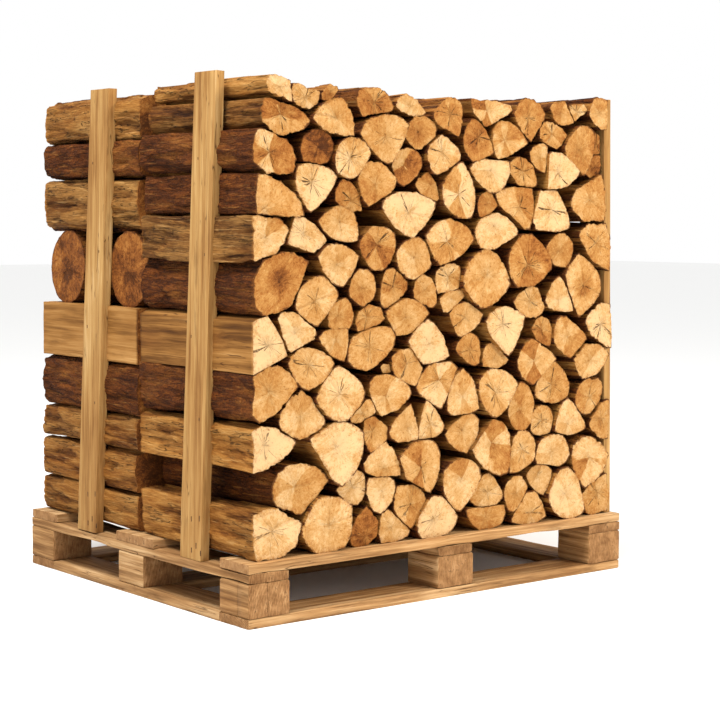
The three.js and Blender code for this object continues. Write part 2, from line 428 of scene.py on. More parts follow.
@dataclass(frozen=True)
class Lumber:
    """Sawn board face: straight grain with streaks, knots and a weathered skin."""

    name: str
    stops: Stops
    grey: float = 0.0
    grain_depth: float = 0.9 * MM
    streak: float = 1.0

    def make(self) -> bpy.types.Material:
        """Return the material."""
        g = Graph(self.name)
        gx, gy, gw = g.attribute("grain")
        tone, seed, _ = g.attribute("trait")
        knot_space = g.pack(gx * 1.4, gy * 1.4, gw * 0.55 + seed * 4.0)
        knot = g.node(
            "ShaderNodeTexVoronoi",
            {"feature": "F1", "distance": "EUCLIDEAN"},
            {"Vector": knot_space, "Scale": 5.2, "Randomness": 1.0},
            out="Distance",
        )
        knot_core = knot.between(0.03, 0.085, 1.0, 0.0)
        knot_ring = knot.between(0.06, 0.3, 1.0, 0.0)
        warp = g.noise(g.pack(gx, gy, gw * 0.25 + seed), 9.0, 2.0) + knot_ring * 0.35
        lines = g.pack(gx + warp * 0.012, gy + warp * 0.012, gw * 0.03 + seed)
        coarse = g.noise(lines, 75.0, 2.0, 0.55)
        fine = g.noise(lines, 330.0, 3.0, 0.65)
        blot = g.noise(g.pack(gx, gy, gw * 0.3 + seed * 2.1), 8.0, 3.0, 0.6)
        shade = (
            0.62
            - tone * 0.4
            + (coarse - 0.5) * self.streak
            + (fine - 0.5) * 0.6 * self.streak
            + (blot - 0.5) * 0.9
        )
        colour = g.ramp(shade, self.stops)
        colour = g.mix(knot_core * 0.75, colour, tint("5A3316"))
        colour = g.mix(knot_ring * 0.25, colour, tint("8F5A2A"))
        if self.grey:
            skin = g.ramp(shade, ((0.1, "523B25"), (0.5, "93734F"), (0.9, "C6A67C")))
            colour = g.mix(blot.between(0.35, 0.7) * self.grey, colour, skin)
        stain = g.noise(g.pack(gx, gy, gw * 0.12 + seed * 3.1), 38.0, 4.0, 0.7).between(0.55, 0.76)
        colour = g.mix(stain * (0.5 + self.grey * 0.4), colour, tint("4A2D13"))
        # slits: thin cracks, their dark colour painted shade inside them
        slit = g.noise(g.pack(gx, gy, gw * 0.05 + seed * 1.7), 60.0, 2.0)
        slit = (slit - 0.5).one("ABSOLUTE").between(0.0, 0.013, 1.0, 0.0) * blot.between(0.47, 0.6)
        colour = g.mix(slit * 0.8, colour, tint("3A1D08"))
        height = coarse * 0.7 + fine * 0.8 - knot_core * 0.5
        return g.finish(colour, 0.8, height, self.grain_depth)


@dataclass(frozen=True)
class BoardEnd:
    """Cross-cut end of a board or block: arcs of rings, short checks, fuzzy saw strokes."""

    name: str
    stops: Stops
    ring_pitch: float = 4.0 * MM

    def make(self) -> bpy.types.Material:
        """Return the material."""
        g = Graph(self.name)
        gx, gy, _ = g.attribute("grain")
        tone, seed, _ = g.attribute("trait")
        flat = g.pack(gx, gy, seed)
        centre = g.vector("LENGTH", g.pack(gx + seed * 0.05 - 0.02, gy + 0.09, 0.0), out="Value")
        ring_phase = centre * (TAU / self.ring_pitch) + g.noise(flat, 20.0, 2.0) * 9.0
        rings = ring_phase.one("SINE") * 0.5 + 0.5
        strokes = g.noise(g.pack(gx, gy * 0.12, seed), 330.0, 3.0, 0.7)
        blot = g.noise(flat, 32.0, 4.0, 0.65)
        shade = 0.6 - tone * 0.3 + (rings - 0.5) * 0.22 + (strokes - 0.5) * 0.55 + (blot - 0.5) * 0.8
        colour = g.ramp(shade, self.stops)
        # short checks, their dark colour painted shade inside the cracks
        check = (g.noise(g.pack(gx, gy * 0.25, seed * 2.0), 90.0, 1.0) - 0.5).one("ABSOLUTE")
        check = check.between(0.0, 0.01, 1.0, 0.0) * blot.between(0.45, 0.6)
        colour = g.mix(check * 0.7, colour, tint("2C1B0E"))
        height = rings * 0.3 + strokes * 0.6 + blot * 0.3 - check
        return g.finish(colour, 0.88, height, 1.4 * MM)


@dataclass(frozen=True)
class Iron:
    """Dull rusted nail and staple steel."""

    name: str = "nail_iron"

    def make(self) -> bpy.types.Material:
        """Return the material."""
        g = Graph(self.name)
        place = g.node("ShaderNodeTexCoord", {}, {}, out="Object")
        rust = g.noise(place, 300.0, 3.0, 0.6)
        colour = g.ramp(rust, ((0.3, "2A1B12"), (0.6, "5A3A22"), (0.8, "7A5A3C")))
        return g.finish(colour, 0.6, rust, 0.3 * MM)


class Finishes:
    """All shared materials of the stack."""

    def __init__(self) -> None:
        """Make every material once."""
        self.end = EndGrain().make()
        self.split = SplitFace().make()
        self.bark = Bark().make()
        self.pallet = Lumber(
            "pallet_board",
            ((0.0, "4C3018"), (0.3, "805A34"), (0.55, "AB8152"), (0.8, "CCA676"), (1.0, "E0C49A")),
            grey=0.45,
            grain_depth=1.2 * MM,
        ).make()
        self.pallet_end = BoardEnd(
            "pallet_board_end",
            ((0.0, "341D0D"), (0.35, "704C2B"), (0.65, "A57B50"), (1.0, "D2AE82")),
        ).make()
        self.post = Lumber(
            "post_board",
            ((0.0, "49280C"), (0.25, "795027"), (0.5, "986F3D"), (0.75, "AE8751"), (1.0, "C8A574")),
            streak=1.0,
            grain_depth=0.9 * MM,
        ).make()
        self.beam = Lumber(
            "sawn_beam",
            ((0.0, "3A200A"), (0.25, "643F18"), (0.5, "8C602E"), (0.75, "A97C46"), (1.0, "C29A64")),
            streak=0.9,
            grain_depth=0.8 * MM,
        ).make()
        self.iron = Iron().make()


# ---------------------------------------------------------------- stacking plan


class Skin(Enum):
    """What covers a log's long sides."""

    ROUND = "bark where the outline curves, riven elsewhere"
    BARK = "bark on the side that faces left"
    SPLIT = "riven on the side that faces left"
    SAWN = "sawn flat all round"


@dataclass
class Split:
    """One log: its end outline round the pith, and how it looks. Plan sizes are centimetres."""

    tone: float
    set_back: float
    pith: Point
    outline: list[Point]
    heart: float = 0.0
    two_tone: float = 0.2
    weather: float = 0.25
    skin: Skin = Skin.ROUND
    node: str = ""
    checks: tuple[float, ...] = ()
    rough: float = 1.0


def split(tone: float, set_back: float, pith_x: float, pith_z: float, corners: str, **look: object) -> Split:
    """Read one line of the stacking plan.

    Args:
        tone: 0 cream to 1 dark brown.
        set_back: How far the end lies behind the front plane, in cm.
        pith_x: The pith's place across the stack, in cm.
        pith_z: The pith's height above the floor, in cm.
        corners: Outline corners as "x z, x z, ..." in cm.
        look: Other fields of Split.

    Returns:
        The log's plan.
    """
    shift = 0.8 * (set_back - 1.3)
    points = []
    for pair in corners.split(","):
        x, z = (float(number) for number in pair.split())
        points.append(((x + shift) * CM, z * CM))
    return Split(tone, set_back * CM, ((pith_x + shift) * CM, pith_z * CM), points, **look)


FRONT_PLAN = [
    # lowest course, left to right
    split(0.08, 1.3, -52.1, 21.2,
        "-57.4 25.2, -53 25.7, -49.8 25.5, -43.6 22.2, -43.7 21, -45 17.8, -49.8 14.8, -56.2 14.8, -57.2 "
        "18.5",
          skin=Skin.SPLIT, node="log_front_left_01", checks=(130, 20, 200), weather=0.4),
    split(0.25, 1.0, -35.6, 21.1,
        "-43.2 20.5, -41.4 22.4, -40.1 25.8, -38.2 27, -35.4 27.2, -32 26.7, -29.6 25, -29.8 21.5, -30 "
        "18.4, -32 15.8, -35.1 14.8, -39.2 15.2, -41.4 17.5",
          checks=(90, 12)),
    split(0.72, 2.2, -25, 17,
        "-24.7 23.8, -21.4 20, -21.7 17.2, -24.5 15.2, -28.1 14.9, -29.4 18.1, -27 21.5"),
    split(0.3, 1.8, -17, 18.5,
        "-19.5 22.3, -16.7 22.3, -14.2 20, -11.8 17.2, -12.6 16, -15.8 15, -19.8 14.9, -20.3 17.2"),
    split(0.12, 0.8, -3.5, 19.3,
        "-7.3 21.3, -5.1 24.1, -3.6 24.6, -1.1 24.2, 1.1 22.5, 3.8 19.2, 3.6 18.2, 1.8 16.2, -0.8 14.9, "
        "-4.2 14.8, -7 15.2, -8.1 17.2",
          checks=(270,)),
    split(0.5, 1.6, 13.5, 18,
        "7 20.2, 7.6 18.6, 9.6 16.7, 11.8 15.2, 14.9 14.9, 18.3 15.8, 19.9 17.5, 20 20.2, 18.4 20.9, 9 21.3"),
    split(0.4, 1.5, 29, 17.5,
        "23 17.3, 25.2 20, 27.4 22.4, 30.2 22.5, 31.8 20.8, 33.3 18.4, 34.1 16.2, 31.1 15.2, 26.1 14.9, "
        "23.2 15.8"),
    split(0.1, 0.7, 41.2, 21.5,
        "35.5 21.9, 36.8 24.4, 39.9 27.8, 42.4 27.7, 45.2 25, 46.8 21.6, 48.4 16.9, 47.1 15.7, 45.2 14.9, "
        "41.8 14.9, 38.6 16.7, 36.4 18.8"),
    split(0.4, 1.5, 53.5, 20.5,
        "48.3 20.3, 50.5 22.5, 53.9 24.5, 56.4 25, 57.2 20, 56.9 15.4, 52.4 14.8, 50.8 15.3, 48.9 17.5"),
    # second
    split(0.35, 2.2, -45.8, 30.7,
        "-51.2 31.2, -51 28.4, -49.8 26.4, -46.4 25.6, -43.6 24.1, -42 26.9, -40.1 28.7, -36.5 31.6, -38.9 "
        "33.8, -42 35.2, -44.5 35.6, -48 35, -50 33.7",
          skin=Skin.BARK, node="log_front_left_02", checks=(118, 75), two_tone=0.3),
    split(0.25, 2.4, -29, 29.3,
        "-33.2 28.8, -32 29.9, -28.2 32.5, -26.7 32.4, -25.4 31.2, -25.6 27.2, -27.3 25.1, -29.5 25.5, -32 "
        "27.2"),
    split(0.15, 1.9, -20, 27.5,
        "-24.2 28.8, -23.4 30.4, -22 30.7, -18.6 30.6, -16.7 29.2, -16.2 27.2, -17 24.7, -20 22.5, -22.3 "
        "23.4, -23.6 26"),
    split(0.45, 1.6, -11, 23.5,
        "-15.9 25.9, -15 27.8, -9.8 27.8, -8.3 26.7, -7 24.4, -7.3 22.8, -9.8 19.1, -11.2 18.3, -14.2 20, "
        "-15.6 22.8", heart=0.3),
    split(0.42, 0.6, 5.3, 28.5,
        "-0.1 30.6, 1.8 32.2, 5.2 32.9, 7.7 32.3, 10.5 30.6, 11.5 28.1, 9.6 25.6, 7.7 23.4, 5.2 20.9, 3 "
        "21.7, 0.8 23.8, 0 26.2",
          two_tone=0.5, checks=(190,)),
    split(0.3, 1.8, 14, 24,
        "8.5 23.4, 10.2 25.2, 11.8 27.5, 14.3 28.4, 15.8 27.3, 17.4 25.4, 18.9 23.1, 18.6 22.2, 16.4 21.2, "
        "12.7 20.6, 10.5 21.6"),
    split(0.35, 1.6, 24, 23,
        "20.5 24.4, 21.4 25.8, 23.9 27.2, 25.8 26.7, 27.4 24.4, 27.1 22.5, 24.9 19.6, 23.3 18.8, 21.8 "
        "19.5, 20.7 21.6"),
    split(0.3, 1.9, 31.5, 27,
        "28.2 27, 29.9 28.6, 31.4 29, 34.2 28.9, 35.8 27.5, 36 25.3, 34.6 22.7, 33.8 21.8, 31.8 22.9, 29.6 "
        "25"),
    split(0.42, 0.8, 50, 30.2,
        "44.2 31.9, 45.2 34.2, 48 35.5, 51.1 35, 54.2 33.1, 56.8 30.3, 55.5 27.5, 54.2 25.9, 50.8 23.4, "
        "49.2 22.7, 47.1 24.1, 45.5 26.6, 44.6 29.4",
          two_tone=0.55),
    # third
    split(0.05, 1.3, -54.4, 41,
        "-57.4 43.8, -54.5 44.5, -51 44.2, -48 42.7, -45.9 40.9, -46.4 40.2, -49.8 37.7, -53.2 36.1, -57.2 "
        "35.5",
          skin=Skin.SPLIT, node="log_front_left_03", checks=(75, 285), weather=0.3),
    split(0.1, 0.9, -33.8, 39,
        "-41.2 41.5, -39 42.8, -35.4 44.2, -32.2 44.3, -29.2 43.8, -26.1 41.9, -26.4 36.9, -28.9 32.7, -32 "
        "30.2, -34.8 31.9, -37.3 35.9, -39.2 39",
          checks=(88,)),
    split(0.5, 1.9, -23, 42,
        "-25 44, -24 45, -22 44.8, -20.4 43.7, -18.7 42.2, -18.9 40, -20.4 38.5, -22.8 37, -24 38.4, -25.1 "
        "41.6"),
    split(0.3, 1.7, -19.5, 33,
        "-25 34.4, -24.4 32.4, -20.1 31.2, -15.1 31, -15.1 34.1, -17.3 36.9, -19 38.6, -21.5 37.8, -23.2 "
        "36.4"),
    split(0.45, 0.8, -7.8, 32.3,
        "-14.5 34.4, -11.7 36.8, -8.6 38.6, -4.5 38.4, -3.1 37.2, -2.3 35.3, -2.9 29.7, -5 26.4, -6.7 27, "
        "-10.1 29, -12.9 31.4",
          heart=0.35, two_tone=0.4),
    split(0.38, 0.8, 15.2, 36.6,
        "9.6 35.6, 12.1 38, 14.6 40.9, 16.1 42.2, 18.2 41.6, 20 39.7, 21.1 37.5, 21.3 33.4, 20.8 29.2, 18 "
        "28.7, 16.4 29.4, 13 31.2, 10.8 33.4",
          two_tone=0.5, checks=(95, 270)),
    split(0.35, 1.4, 26, 34,
        "22.4 34.4, 23.6 37.3, 25.2 38.4, 27.7 38.1, 29.4 36.2, 30 33.8, 30 31.9, 27.4 30.4, 23.9 28.8, "
        "21.9 28.8, 22.1 31.2"),
    split(0.3, 1.3, 36, 32.5,
        "30.8 32.5, 31.8 34.7, 33.3 36.4, 36.8 37, 39.2 36.6, 41.1 34.4, 42.4 31.6, 41.1 30, 38.9 29, 35.5 "
        "29.4, 31.8 29.7"),
    split(0.4, 1.5, 54.5, 40,
        "50.3 39.4, 52.7 42.2, 55.2 44.4, 57.1 44.4, 57.2 34.9, 54.2 34.7, 52.4 36.6, 50.5 38.1"),
    # fourth
    split(0.32, 1.6, -44.2, 46.8,
        "-50.4 45.6, -49.6 44, -47.6 43.2, -45.1 42.2, -41.1 42.4, -37.2 44, -37 45.6, -39.5 48.6, -43.7 "
        "52.4, -46.5 51, -49.2 48.6"),
    split(0.3, 1.7, -26, 46.5,
        "-29.3 45.8, -25.1 49.3, -23.9 49.2, -22.5 46.9, -22.9 45.9, -25.8 44.6, -28.9 44.6"),
    split(0.3, 1.4, -12, 42,
        "-17.5 41.6, -16.8 40.3, -14.5 39.1, -9.2 39.2, -9.1 40.9, -10.1 44.4, -11.1 47.5, -14.8 44.7"),
    split(0.25, 1.6, -5, 42.5,
        "-6.1 47.7, -5.1 46.9, -3.2 44.7, -0.8 41.9, -1.2 40.9, -3.6 39.4, -8.2 39.2, -8.2 40.9, -7.3 44.1"),
    split(0.35, 1.7, 5.5, 40.2,
        "0.2 39.7, 3 41.9, 6.1 43.6, 9.2 43.6, 10.6 42.2, 10.2 38.8, 8.6 36.2, 7.2 34.7, 5.2 35.5, 3 36.9, "
        "1.1 38.1", checks=(150,)),
    split(0.3, 1.3, 16.5, 49,
        "11.1 50.2, 12.1 52.7, 15.2 54.9, 18 54.4, 21.1 53.1, 23.3 51.4, 24.2 50.2, 22.4 47.8, 20.5 45.7, "
        "18 43.9, 16.1 42.9, 13.9 44.7, 11.8 47.5"),
    split(0.5, 1.6, 25, 44,
        "21.7 43.4, 22.1 46.2, 24.2 49.6, 25.2 50.5, 26.4 50.2, 27.9 48.6, 29.2 46.2, 29.4 44.4, 28.6 "
        "41.2, 26.4 39.4, 24.2 39.7, 22.7 41"),
    split(0.4, 1.7, 32.5, 41,
        "29.5 40.6, 29.9 43.2, 32.4 44.4, 35.2 43.4, 36.2 41.6, 36.4 38.8, 35.5 37.6, 33 37.6, 30.2 38, "
        "29.4 38.8"),
    split(0.2, 1.2, 42, 39.5,
        "36.8 38.4, 38 40, 38.8 41.9, 40.5 44.7, 42.1 45.5, 44.6 43.1, 47.1 40.3, 48.4 38.4, 47.1 37.7, 43 "
        "37.2, 39.2 37.4"),
    split(0.5, 1.7, 50, 46,
        "45.2 44.7, 45.8 47.5, 47.4 49.5, 49.2 50.4, 52.7 50.3, 54.4 48.4, 54.2 46.6, 52.4 43.8, 50.8 "
        "41.9, 48.6 41.6, 46.8 42.6"),
    # fifth
    split(0.38, 1.3, -53, 53,
        "-58 51.6, -57.4 56.4, -54.2 57.8, -51.7 58.2, -49.5 57.2, -46.4 55.5, -45.3 54, -48.2 50.8, -52 "
        "48.2, -55.4 46.6, -57.4 48.6",
          skin=Skin.BARK, node="log_front_left_04", checks=(140, 290)),
    split(0.18, 1.3, -32.9, 51.3,
        "-39.5 50.8, -38.2 53, -35.1 56.9, -32.9 57.7, -29.5 55.8, -27.3 53.9, -25.6 51.4, -25.9 49.8, "
        "-28.5 47, -30.1 45.5, -33.9 45.5, -36.6 46.6, -38.6 48.8",
          checks=(130,)),
    split(0.35, 1.5, -19, 50,
        "-23.2 53.3, -22 54.4, -17.3 54.8, -14.5 53.4, -12.6 51.9, -11.8 50.5, -12.8 49.2, -15.8 47.2, -20 "
        "45.7, -21 46.6, -22.7 50", two_tone=0.35),
    split(0.3, 1.5, -2.2, 53,
        "-9.2 52.1, -7.9 54.2, -5.1 56.6, 1.1 57.2, 3 55.5, 2.4 53.3, 0.5 50.2, -0.2 48.4, -0.8 46.3, -2.6 "
        "46.8, -5.8 49.4, -7.6 50.3", two_tone=0.5),
    split(0.3, 1.7, 5.5, 48.5,
        "0.8 49.6, 2.7 52.5, 5.8 54.9, 7.7 53.3, 9.6 50.5, 10.4 47.8, 11.1 45.5, 8 44.7, 2.1 44.4, 0.5 45.6"),
    split(0.4, 1.6, 36, 50,
        "31.4 50.5, 33 53, 35.5 55.1, 37.1 55.3, 39.6 53, 42.1 49.9, 41.9 46.9, 39.6 45.9, 36.8 45.6, 33.6 "
        "46, 30.8 47.7"),
    split(0.3, 1.0, 50.2, 55.8,
        "43.6 56.4, 45.5 58, 48 59.6, 52.1 59.6, 54.9 58.5, 57 56.8, 56.4 55.6, 53.9 53.3, 50.5 51.8, 47.4 "
        "51, 45.5 53"),
    # sixth
    split(0.0, 1.0, -53, 63.5,
        "-57.6 68, -53.7 69.6, -51.7 66.8, -50.1 64.2, -48.6 61.1, -50.1 60.2, -54.2 58.6, -57.6 57.7, "
        "-57.9 63",
          skin=Skin.SAWN, node="log_front_left_05", checks=(140, 178, 310), weather=0.6),
    split(0.15, 1.3, -45.8, 66,
        "-50 69, -49.5 70.4, -47.6 70.6, -44.2 69.5, -42 67.8, -39.9 66.3, -40.2 65.2, -43.2 63.3, -46.4 "
        "62, -47.3 63, -48.6 66.1"),
    split(0.3, 1.4, -41.8, 58.6,
        "-47.3 59.2, -44.8 61.9, -41.7 61.8, -37.3 60.8, -35.8 59.6, -34.3 58, -35.4 56.8, -37.6 55.1, "
        "-41.7 53.4, -43.2 53.8, -45.4 55.7, -46.5 57.7"),
    split(0.45, 1.5, -34, 64,
        "-38.7 64.6, -37 66, -33.9 66.2, -30.8 65.9, -30.8 63.3, -31.4 59.3, -32.9 59.8, -35.4 61.3, -37.6 "
        "63.3"),
    split(0.28, 1.4, -24, 62,
        "-29.8 62.1, -28.2 64.2, -24.5 65.6, -20.8 66.2, -17.3 66.2, -16.4 64.9, -17.3 62.1, -18.9 60.5, "
        "-22 57.9, -24.5 57, -28.2 57.6, -29.8 59.2",
          two_tone=0.4),
    split(0.4, 2.4, -18.7, 56.2, "-20 56.8, -19.4 57.3, -17.9 57.2, -17.4 56.2, -17.8 55.6, -19.4 55.6"),
    split(0.45, 1.7, -12.5, 57.5,
        "-17.3 58.4, -15.8 59.7, -13.6 60.2, -11.4 60.2, -8.9 58.3, -7.8 56.4, -8.4 54.1, -9.8 52.4, -14.2 "
        "54.2, -16.5 55.8"),
    split(0.03, 1.1, -5.5, 62,
        "-12 62.1, -10.4 64.2, -8.2 66.8, -6.4 67.6, -4.5 66.6, -2 63.6, 0.7 58.9, -0.1 58.6, -3.2 58, "
        "-6.4 57.6, -7.9 57.7, -9.8 59.9"),
    split(0.5, 1.8, 7.5, 60,
        "3.4 60.2, 4.2 62.1, 7.4 63.9, 9.6 62.9, 10.6 61.4, 10.6 57, 9.2 56.4, 6.1 58.3, 4.9 58.9"),
    split(0.3, 1.8, 16, 57.5,
        "12.7 56.1, 13 58, 13.3 60, 15.2 60.9, 17.4 59.2, 19.9 57.4, 20.3 57, 18.2 55.8, 15.5 55.6"),
    split(0.05, 0.9, 18.8, 66,
        "13 66.8, 14.6 68.4, 17.1 69.4, 19.9 69.8, 23.6 69.1, 26.1 67.8, 25.5 65.5, 23.9 63, 21.8 59.8, "
        "20.5 58.8, 18.9 59.8, 17.1 61.6, 14.9 63.2, 13.9 64.9",
          checks=(95, 280, 330)),
    split(0.5, 1.1, 29.5, 56.5,
        "24.4 56.8, 26.1 59.7, 28.6 61.6, 30.5 61.2, 34.9 58.3, 37 56.4, 33.6 54.4, 31.4 52.2, 30.6 50.8, "
        "29.6 50.8, 26.2 52.9, 24.8 54.9", two_tone=0.55),
    split(0.6, 1.8, 32, 64.5,
        "29.4 64.2, 30.5 66.2, 32.4 67, 34.2 66, 35.2 64.2, 35.8 62.1, 35 60.3, 33.6 60.7, 30.7 62.1"),
    split(0.4, 1.2, 41.5, 62,
        "36.8 63.9, 37.7 66.1, 39.2 67, 41.1 66.7, 44.6 64.2, 47.4 62.4, 48.3 61, 46.8 59.8, 44.6 58.2, 43 "
        "56.8, 40.5 58.2, 37.4 60.5, 36.6 61.6", two_tone=0.3),
    split(0.08, 1.0, 53.8, 65,
        "48.4 65.5, 49.9 67.7, 53 69.7, 57.1 69.8, 57.5 63.6, 57.4 58.9, 54.9 59.8, 51.8 61.5, 49.4 63.6", checks=(40,)),
    # seventh
    split(0.6, 1.3, -50.3, 77.6,
        "-57.3 75.5, -56.7 77.7, -55.1 80.6, -52.9 82.8, -49.8 83.7, -47 83.6, -44.5 83, -42 81.6, -43.1 "
        "79.2, -44.9 75.5, -47 73.2, -49.5 71.5, -54.2 70.2, -56.4 72.3",
          skin=Skin.BARK, node="log_front_left_06", heart=0.8, checks=(60,), two_tone=0.1),
    split(0.3, 1.4, -40, 73,
        "-45.1 73, -44.3 75.5, -42 77, -38.9 78.2, -37 78.2, -35.1 76.6, -33.9 74.9, -34 73.5, -36.2 71.3, "
        "-39.2 67.7, -40.4 68, -43.2 69.8, -44.8 71.3", checks=(200, 15)),
    split(0.5, 1.8, -33.5, 69.5,
        "-35.6 69.2, -35 71.6, -31.4 73.1, -29.9 71.8, -29.2 69.2, -29.9 67.4, -31.1 66.6, -33.9 66.6, "
        "-35.6 67.6"),
    split(0.5, 2.0, -25, 69,
        "-27.7 68, -26.7 70.3, -24.5 71.5, -20.6 70.8, -20.3 69.6, -19.7 68.6, -22 67.4, -25.1 66.6, -27.2 "
        "65.8"),
    split(0.4, 1.3, -13, 68.5,
        "-19 69.6, -17.9 70.8, -14.2 72.4, -11.1 72.6, -7.9 71.4, -6.3 69.2, -6.8 68, -9.5 66, -12.3 64.9, "
        "-15.8 65, -17.9 67.7"),
    split(0.35, 1.7, 6, 68,
        "1.3 69.2, 3.9 71.1, 6.1 71.4, 8.3 70.3, 11.4 68.6, 9.9 66.4, 5.5 63.9, 4.1 64.1, 2.6 66.8"),
    split(0.35, 1.9, 1.5, 72.5,
        "-1.8 72.7, 1.1 74, 3.9 74.5, 5.7 74, 5.5 72.6, 2.8 71.2, 0.5 69.8, -0.7 69.8"),
    split(0.4, 1.6, 28, 71.5,
        "22.9 71.4, 25.2 73.1, 28 74.5, 31 74.4, 31.4 72.7, 33.4 70.2, 31.8 68.5, 30.2 67.7, 26.3 68.2, "
        "24.1 69.8"),
    split(0.2, 1.2, 38, 71.5,
        "33.5 71.1, 35.5 73.7, 36.8 75.9, 38.3 77, 40.3 75.5, 41.9 72.4, 43 68.8, 39.9 69, 36.8 69.6, 34.3 "
        "70.2"),
    split(0.3, 0.9, 47, 75,
        "40.9 77.7, 41.5 79.2, 43.3 80.9, 45.2 82.8, 47.7 81.2, 50.5 79.4, 52.4 77.4, 53 75.5, 52.7 73, "
        "50.2 70.5, 45.5 67.6, 44.6 68.2, 43.2 71.4, 41.6 74.6",
          heart=1.0, checks=(95, 200, 340)),
    # eighth
    split(0.45, 1.7, -26.3, 75.8,
        "-29.9 75.5, -28.8 78.4, -27 79.8, -24.8 79.5, -23.3 78, -22.6 75.5, -23.3 73, -25.4 71.8, -27.9 "
        "72.9, -29.6 74"),
    split(0.5, 1.9, -17, 76,
        "-20.2 76.1, -19.1 79.5, -17 79.8, -14.8 78.7, -12.8 77.1, -12.8 75.2, -15.4 72.9, -19.1 71.5, "
        "-20.2 72.2", heart=0.3),
    split(0.4, 1.8, -7, 75,
        "-10.2 74.9, -9.4 77, -7.3 78.2, -5.1 77, -4 74.9, -3.7 72, -4.8 71.1, -6.7 71.4, -8.9 72.6, -9.9 "
        "73.4"),
    split(0.4, 1.9, 0.5, 78,
        "-3 78.9, -1.7 80.4, 1.8 80.9, 3.5 80, 4 78, 3.8 75.3, 1.1 74.9, -1.9 74.2, -2.7 75.5", two_tone=0.35),
    split(0.35, 0.9, 13.5, 78.5,
        "5.5 76.4, 6.1 78.9, 8.3 81.8, 11.1 83.6, 13.6 84, 16.4 82.8, 18.6 80.6, 20 78, 20.9 76, 19.7 "
        "74.6, 17.1 72.6, 13.9 70.8, 10.8 70.6, 7.7 72.4, 6.1 74.2",
          checks=(80, 350, 200, 250), two_tone=0.2),
    split(0.58, 1.0, 27, 80.6,
        "20.9 81.4, 21.5 83.7, 23.9 86.1, 25.4 87.7, 28.3 87.6, 31.4 85.3, 33.4 83.4, 34.9 81.4, 34.7 "
        "79.6, 31.4 77.1, 28.6 75.8, 23.9 75.4, 22.5 77.1, 21.3 79.6",
          checks=(85,), two_tone=0.3),
    split(0.45, 1.5, 38, 84,
        "33.7 84.9, 34.8 86.2, 36.8 87.5, 38 88.2, 39.9 88, 41.8 86.6, 42.8 85.6, 42.4 83, 41 80.4, 37.4 "
        "80.7, 35.7 82"),
    split(0.45, 1.0, 51.5, 86,
        "45.2 88, 47.7 90.3, 50.5 91.2, 54.9 90.9, 56.3 87.5, 56.4 84.9, 56 79.1, 54.2 80.1, 50.5 82, 47.6 "
        "84.9", heart=0.2),
    # ninth
    split(0.4, 1.3, -54, 87.5,
        "-57.6 82.6, -55.8 82.4, -52.6 83.9, -50.1 85.9, -48.3 87.6, -47.8 88.8, -49.5 90.9, -51.7 91.7, "
        "-54.2 92, -57.2 91.7, -57.6 88.9",
          skin=Skin.SPLIT, node="log_front_left_07", checks=(60,), two_tone=0.4, weather=0.7),
    split(0.15, 1.5, -43.5, 88.5,
        "-47.8 87.1, -46.9 88.9, -45.6 91.5, -43.2 91.4, -40.8 90.3, -38.2 88.1, -36.9 87, -37.2 86.5, "
        "-40.4 84.4, -43.2 85.4, -47.6 86.2"),
    split(0.32, 1.2, -33.8, 81.3,
        "-39 83.2, -37 85.3, -33.9 85.8, -31.4 85.3, -27.7 83.1, -29 80.5, -30.4 78.4, -32 76.7, -33.9 "
        "77.3, -36.1 78.5, -37.6 80.6", checks=(95,)),
    split(0.58, 1.4, -22, 86,
        "-27.1 85.5, -26.3 87, -23.2 89.4, -19.5 89.5, -17.1 88.2, -16.5 86.2, -17.4 83.9, -19 80.8, -20.1 "
        "80.2, -23.2 80.3, -25.6 83.2", two_tone=0.4),
    split(0.35, 1.4, -10.4, 82.8,
        "-15.3 83.9, -14.2 85.2, -12.3 86.6, -9.5 87.3, -7.1 85.8, -6.1 83.6, -5.3 81.3, -5.9 80.1, -8.2 "
        "78.9, -10.4 78.2, -12.9 78.9, -15 81", checks=(160,)),
    split(0.35, 1.2, 0, 86.5,
        "-6.4 88, -4.8 89.7, -2 91.1, 1.1 91.5, 4.9 90.3, 8.2 88.4, 8.4 86.9, 4.6 83.9, 1.8 82.5, -2 81.1, "
        "-3.3 82, -5.6 86", two_tone=0.45),
    split(0.1, 1.3, 15.4, 90.4,
        "8.9 88.4, 10.8 91, 13.3 92.5, 16.4 93, 19.2 91.9, 21 90.8, 23.1 89, 22.8 88.2, 20.6 87.2, 17.1 "
        "85.7, 15.2 85, 11.8 85.2, 10.2 86.6", checks=(88,)),
    split(0.18, 1.1, 35, 94.5,
        "28.9 92.1, 30 94.9, 30.9 97.8, 32.1 99.5, 36.4 99.5, 38.3 97.1, 40.1 94.6, 41.2 91.1, 40.9 90, "
        "36.8 89.6, 30 89.9"),
    # tenth
    split(0.35, 1.3, -54.5, 94,
        "-55.6 101.2, -53.9 100.9, -49.8 99.2, -46.4 97.2, -44.6 95.3, -43.8 92.7, -49.5 92.6, -55.8 92.7, "
        "-56.2 97.1",
          skin=Skin.BARK, node="log_front_left_08", checks=(320,)),
    split(0.06, 1.2, -41, 100,
        "-45.4 102.2, -44.4 103.4, -40.4 103.8, -37 103.4, -34 101.3, -35.2 99.8, -37 97.4, -39.5 94.8, "
        "-41.4 93.7, -42.9 94.6, -44.7 97.4, -45.2 99.9", checks=(90, 300)),
    split(0.3, 1.5, -33, 91.2,
        "-38.6 91.3, -37 92.8, -32.9 94.2, -29.6 93, -28.3 90.8, -28.1 87, -32 87, -35.1 87.9, -37.2 89.2", checks=(92, 80)),
    split(0.6, 1.9, -29.5, 96,
        "-34 97.4, -33.7 98.6, -31.7 100.8, -29.2 98.7, -27.5 96.7, -26.7 94.2, -29.2 94.1, -32 95.1, "
        "-33.8 96"),
    split(0.5, 1.3, -22.5, 100,
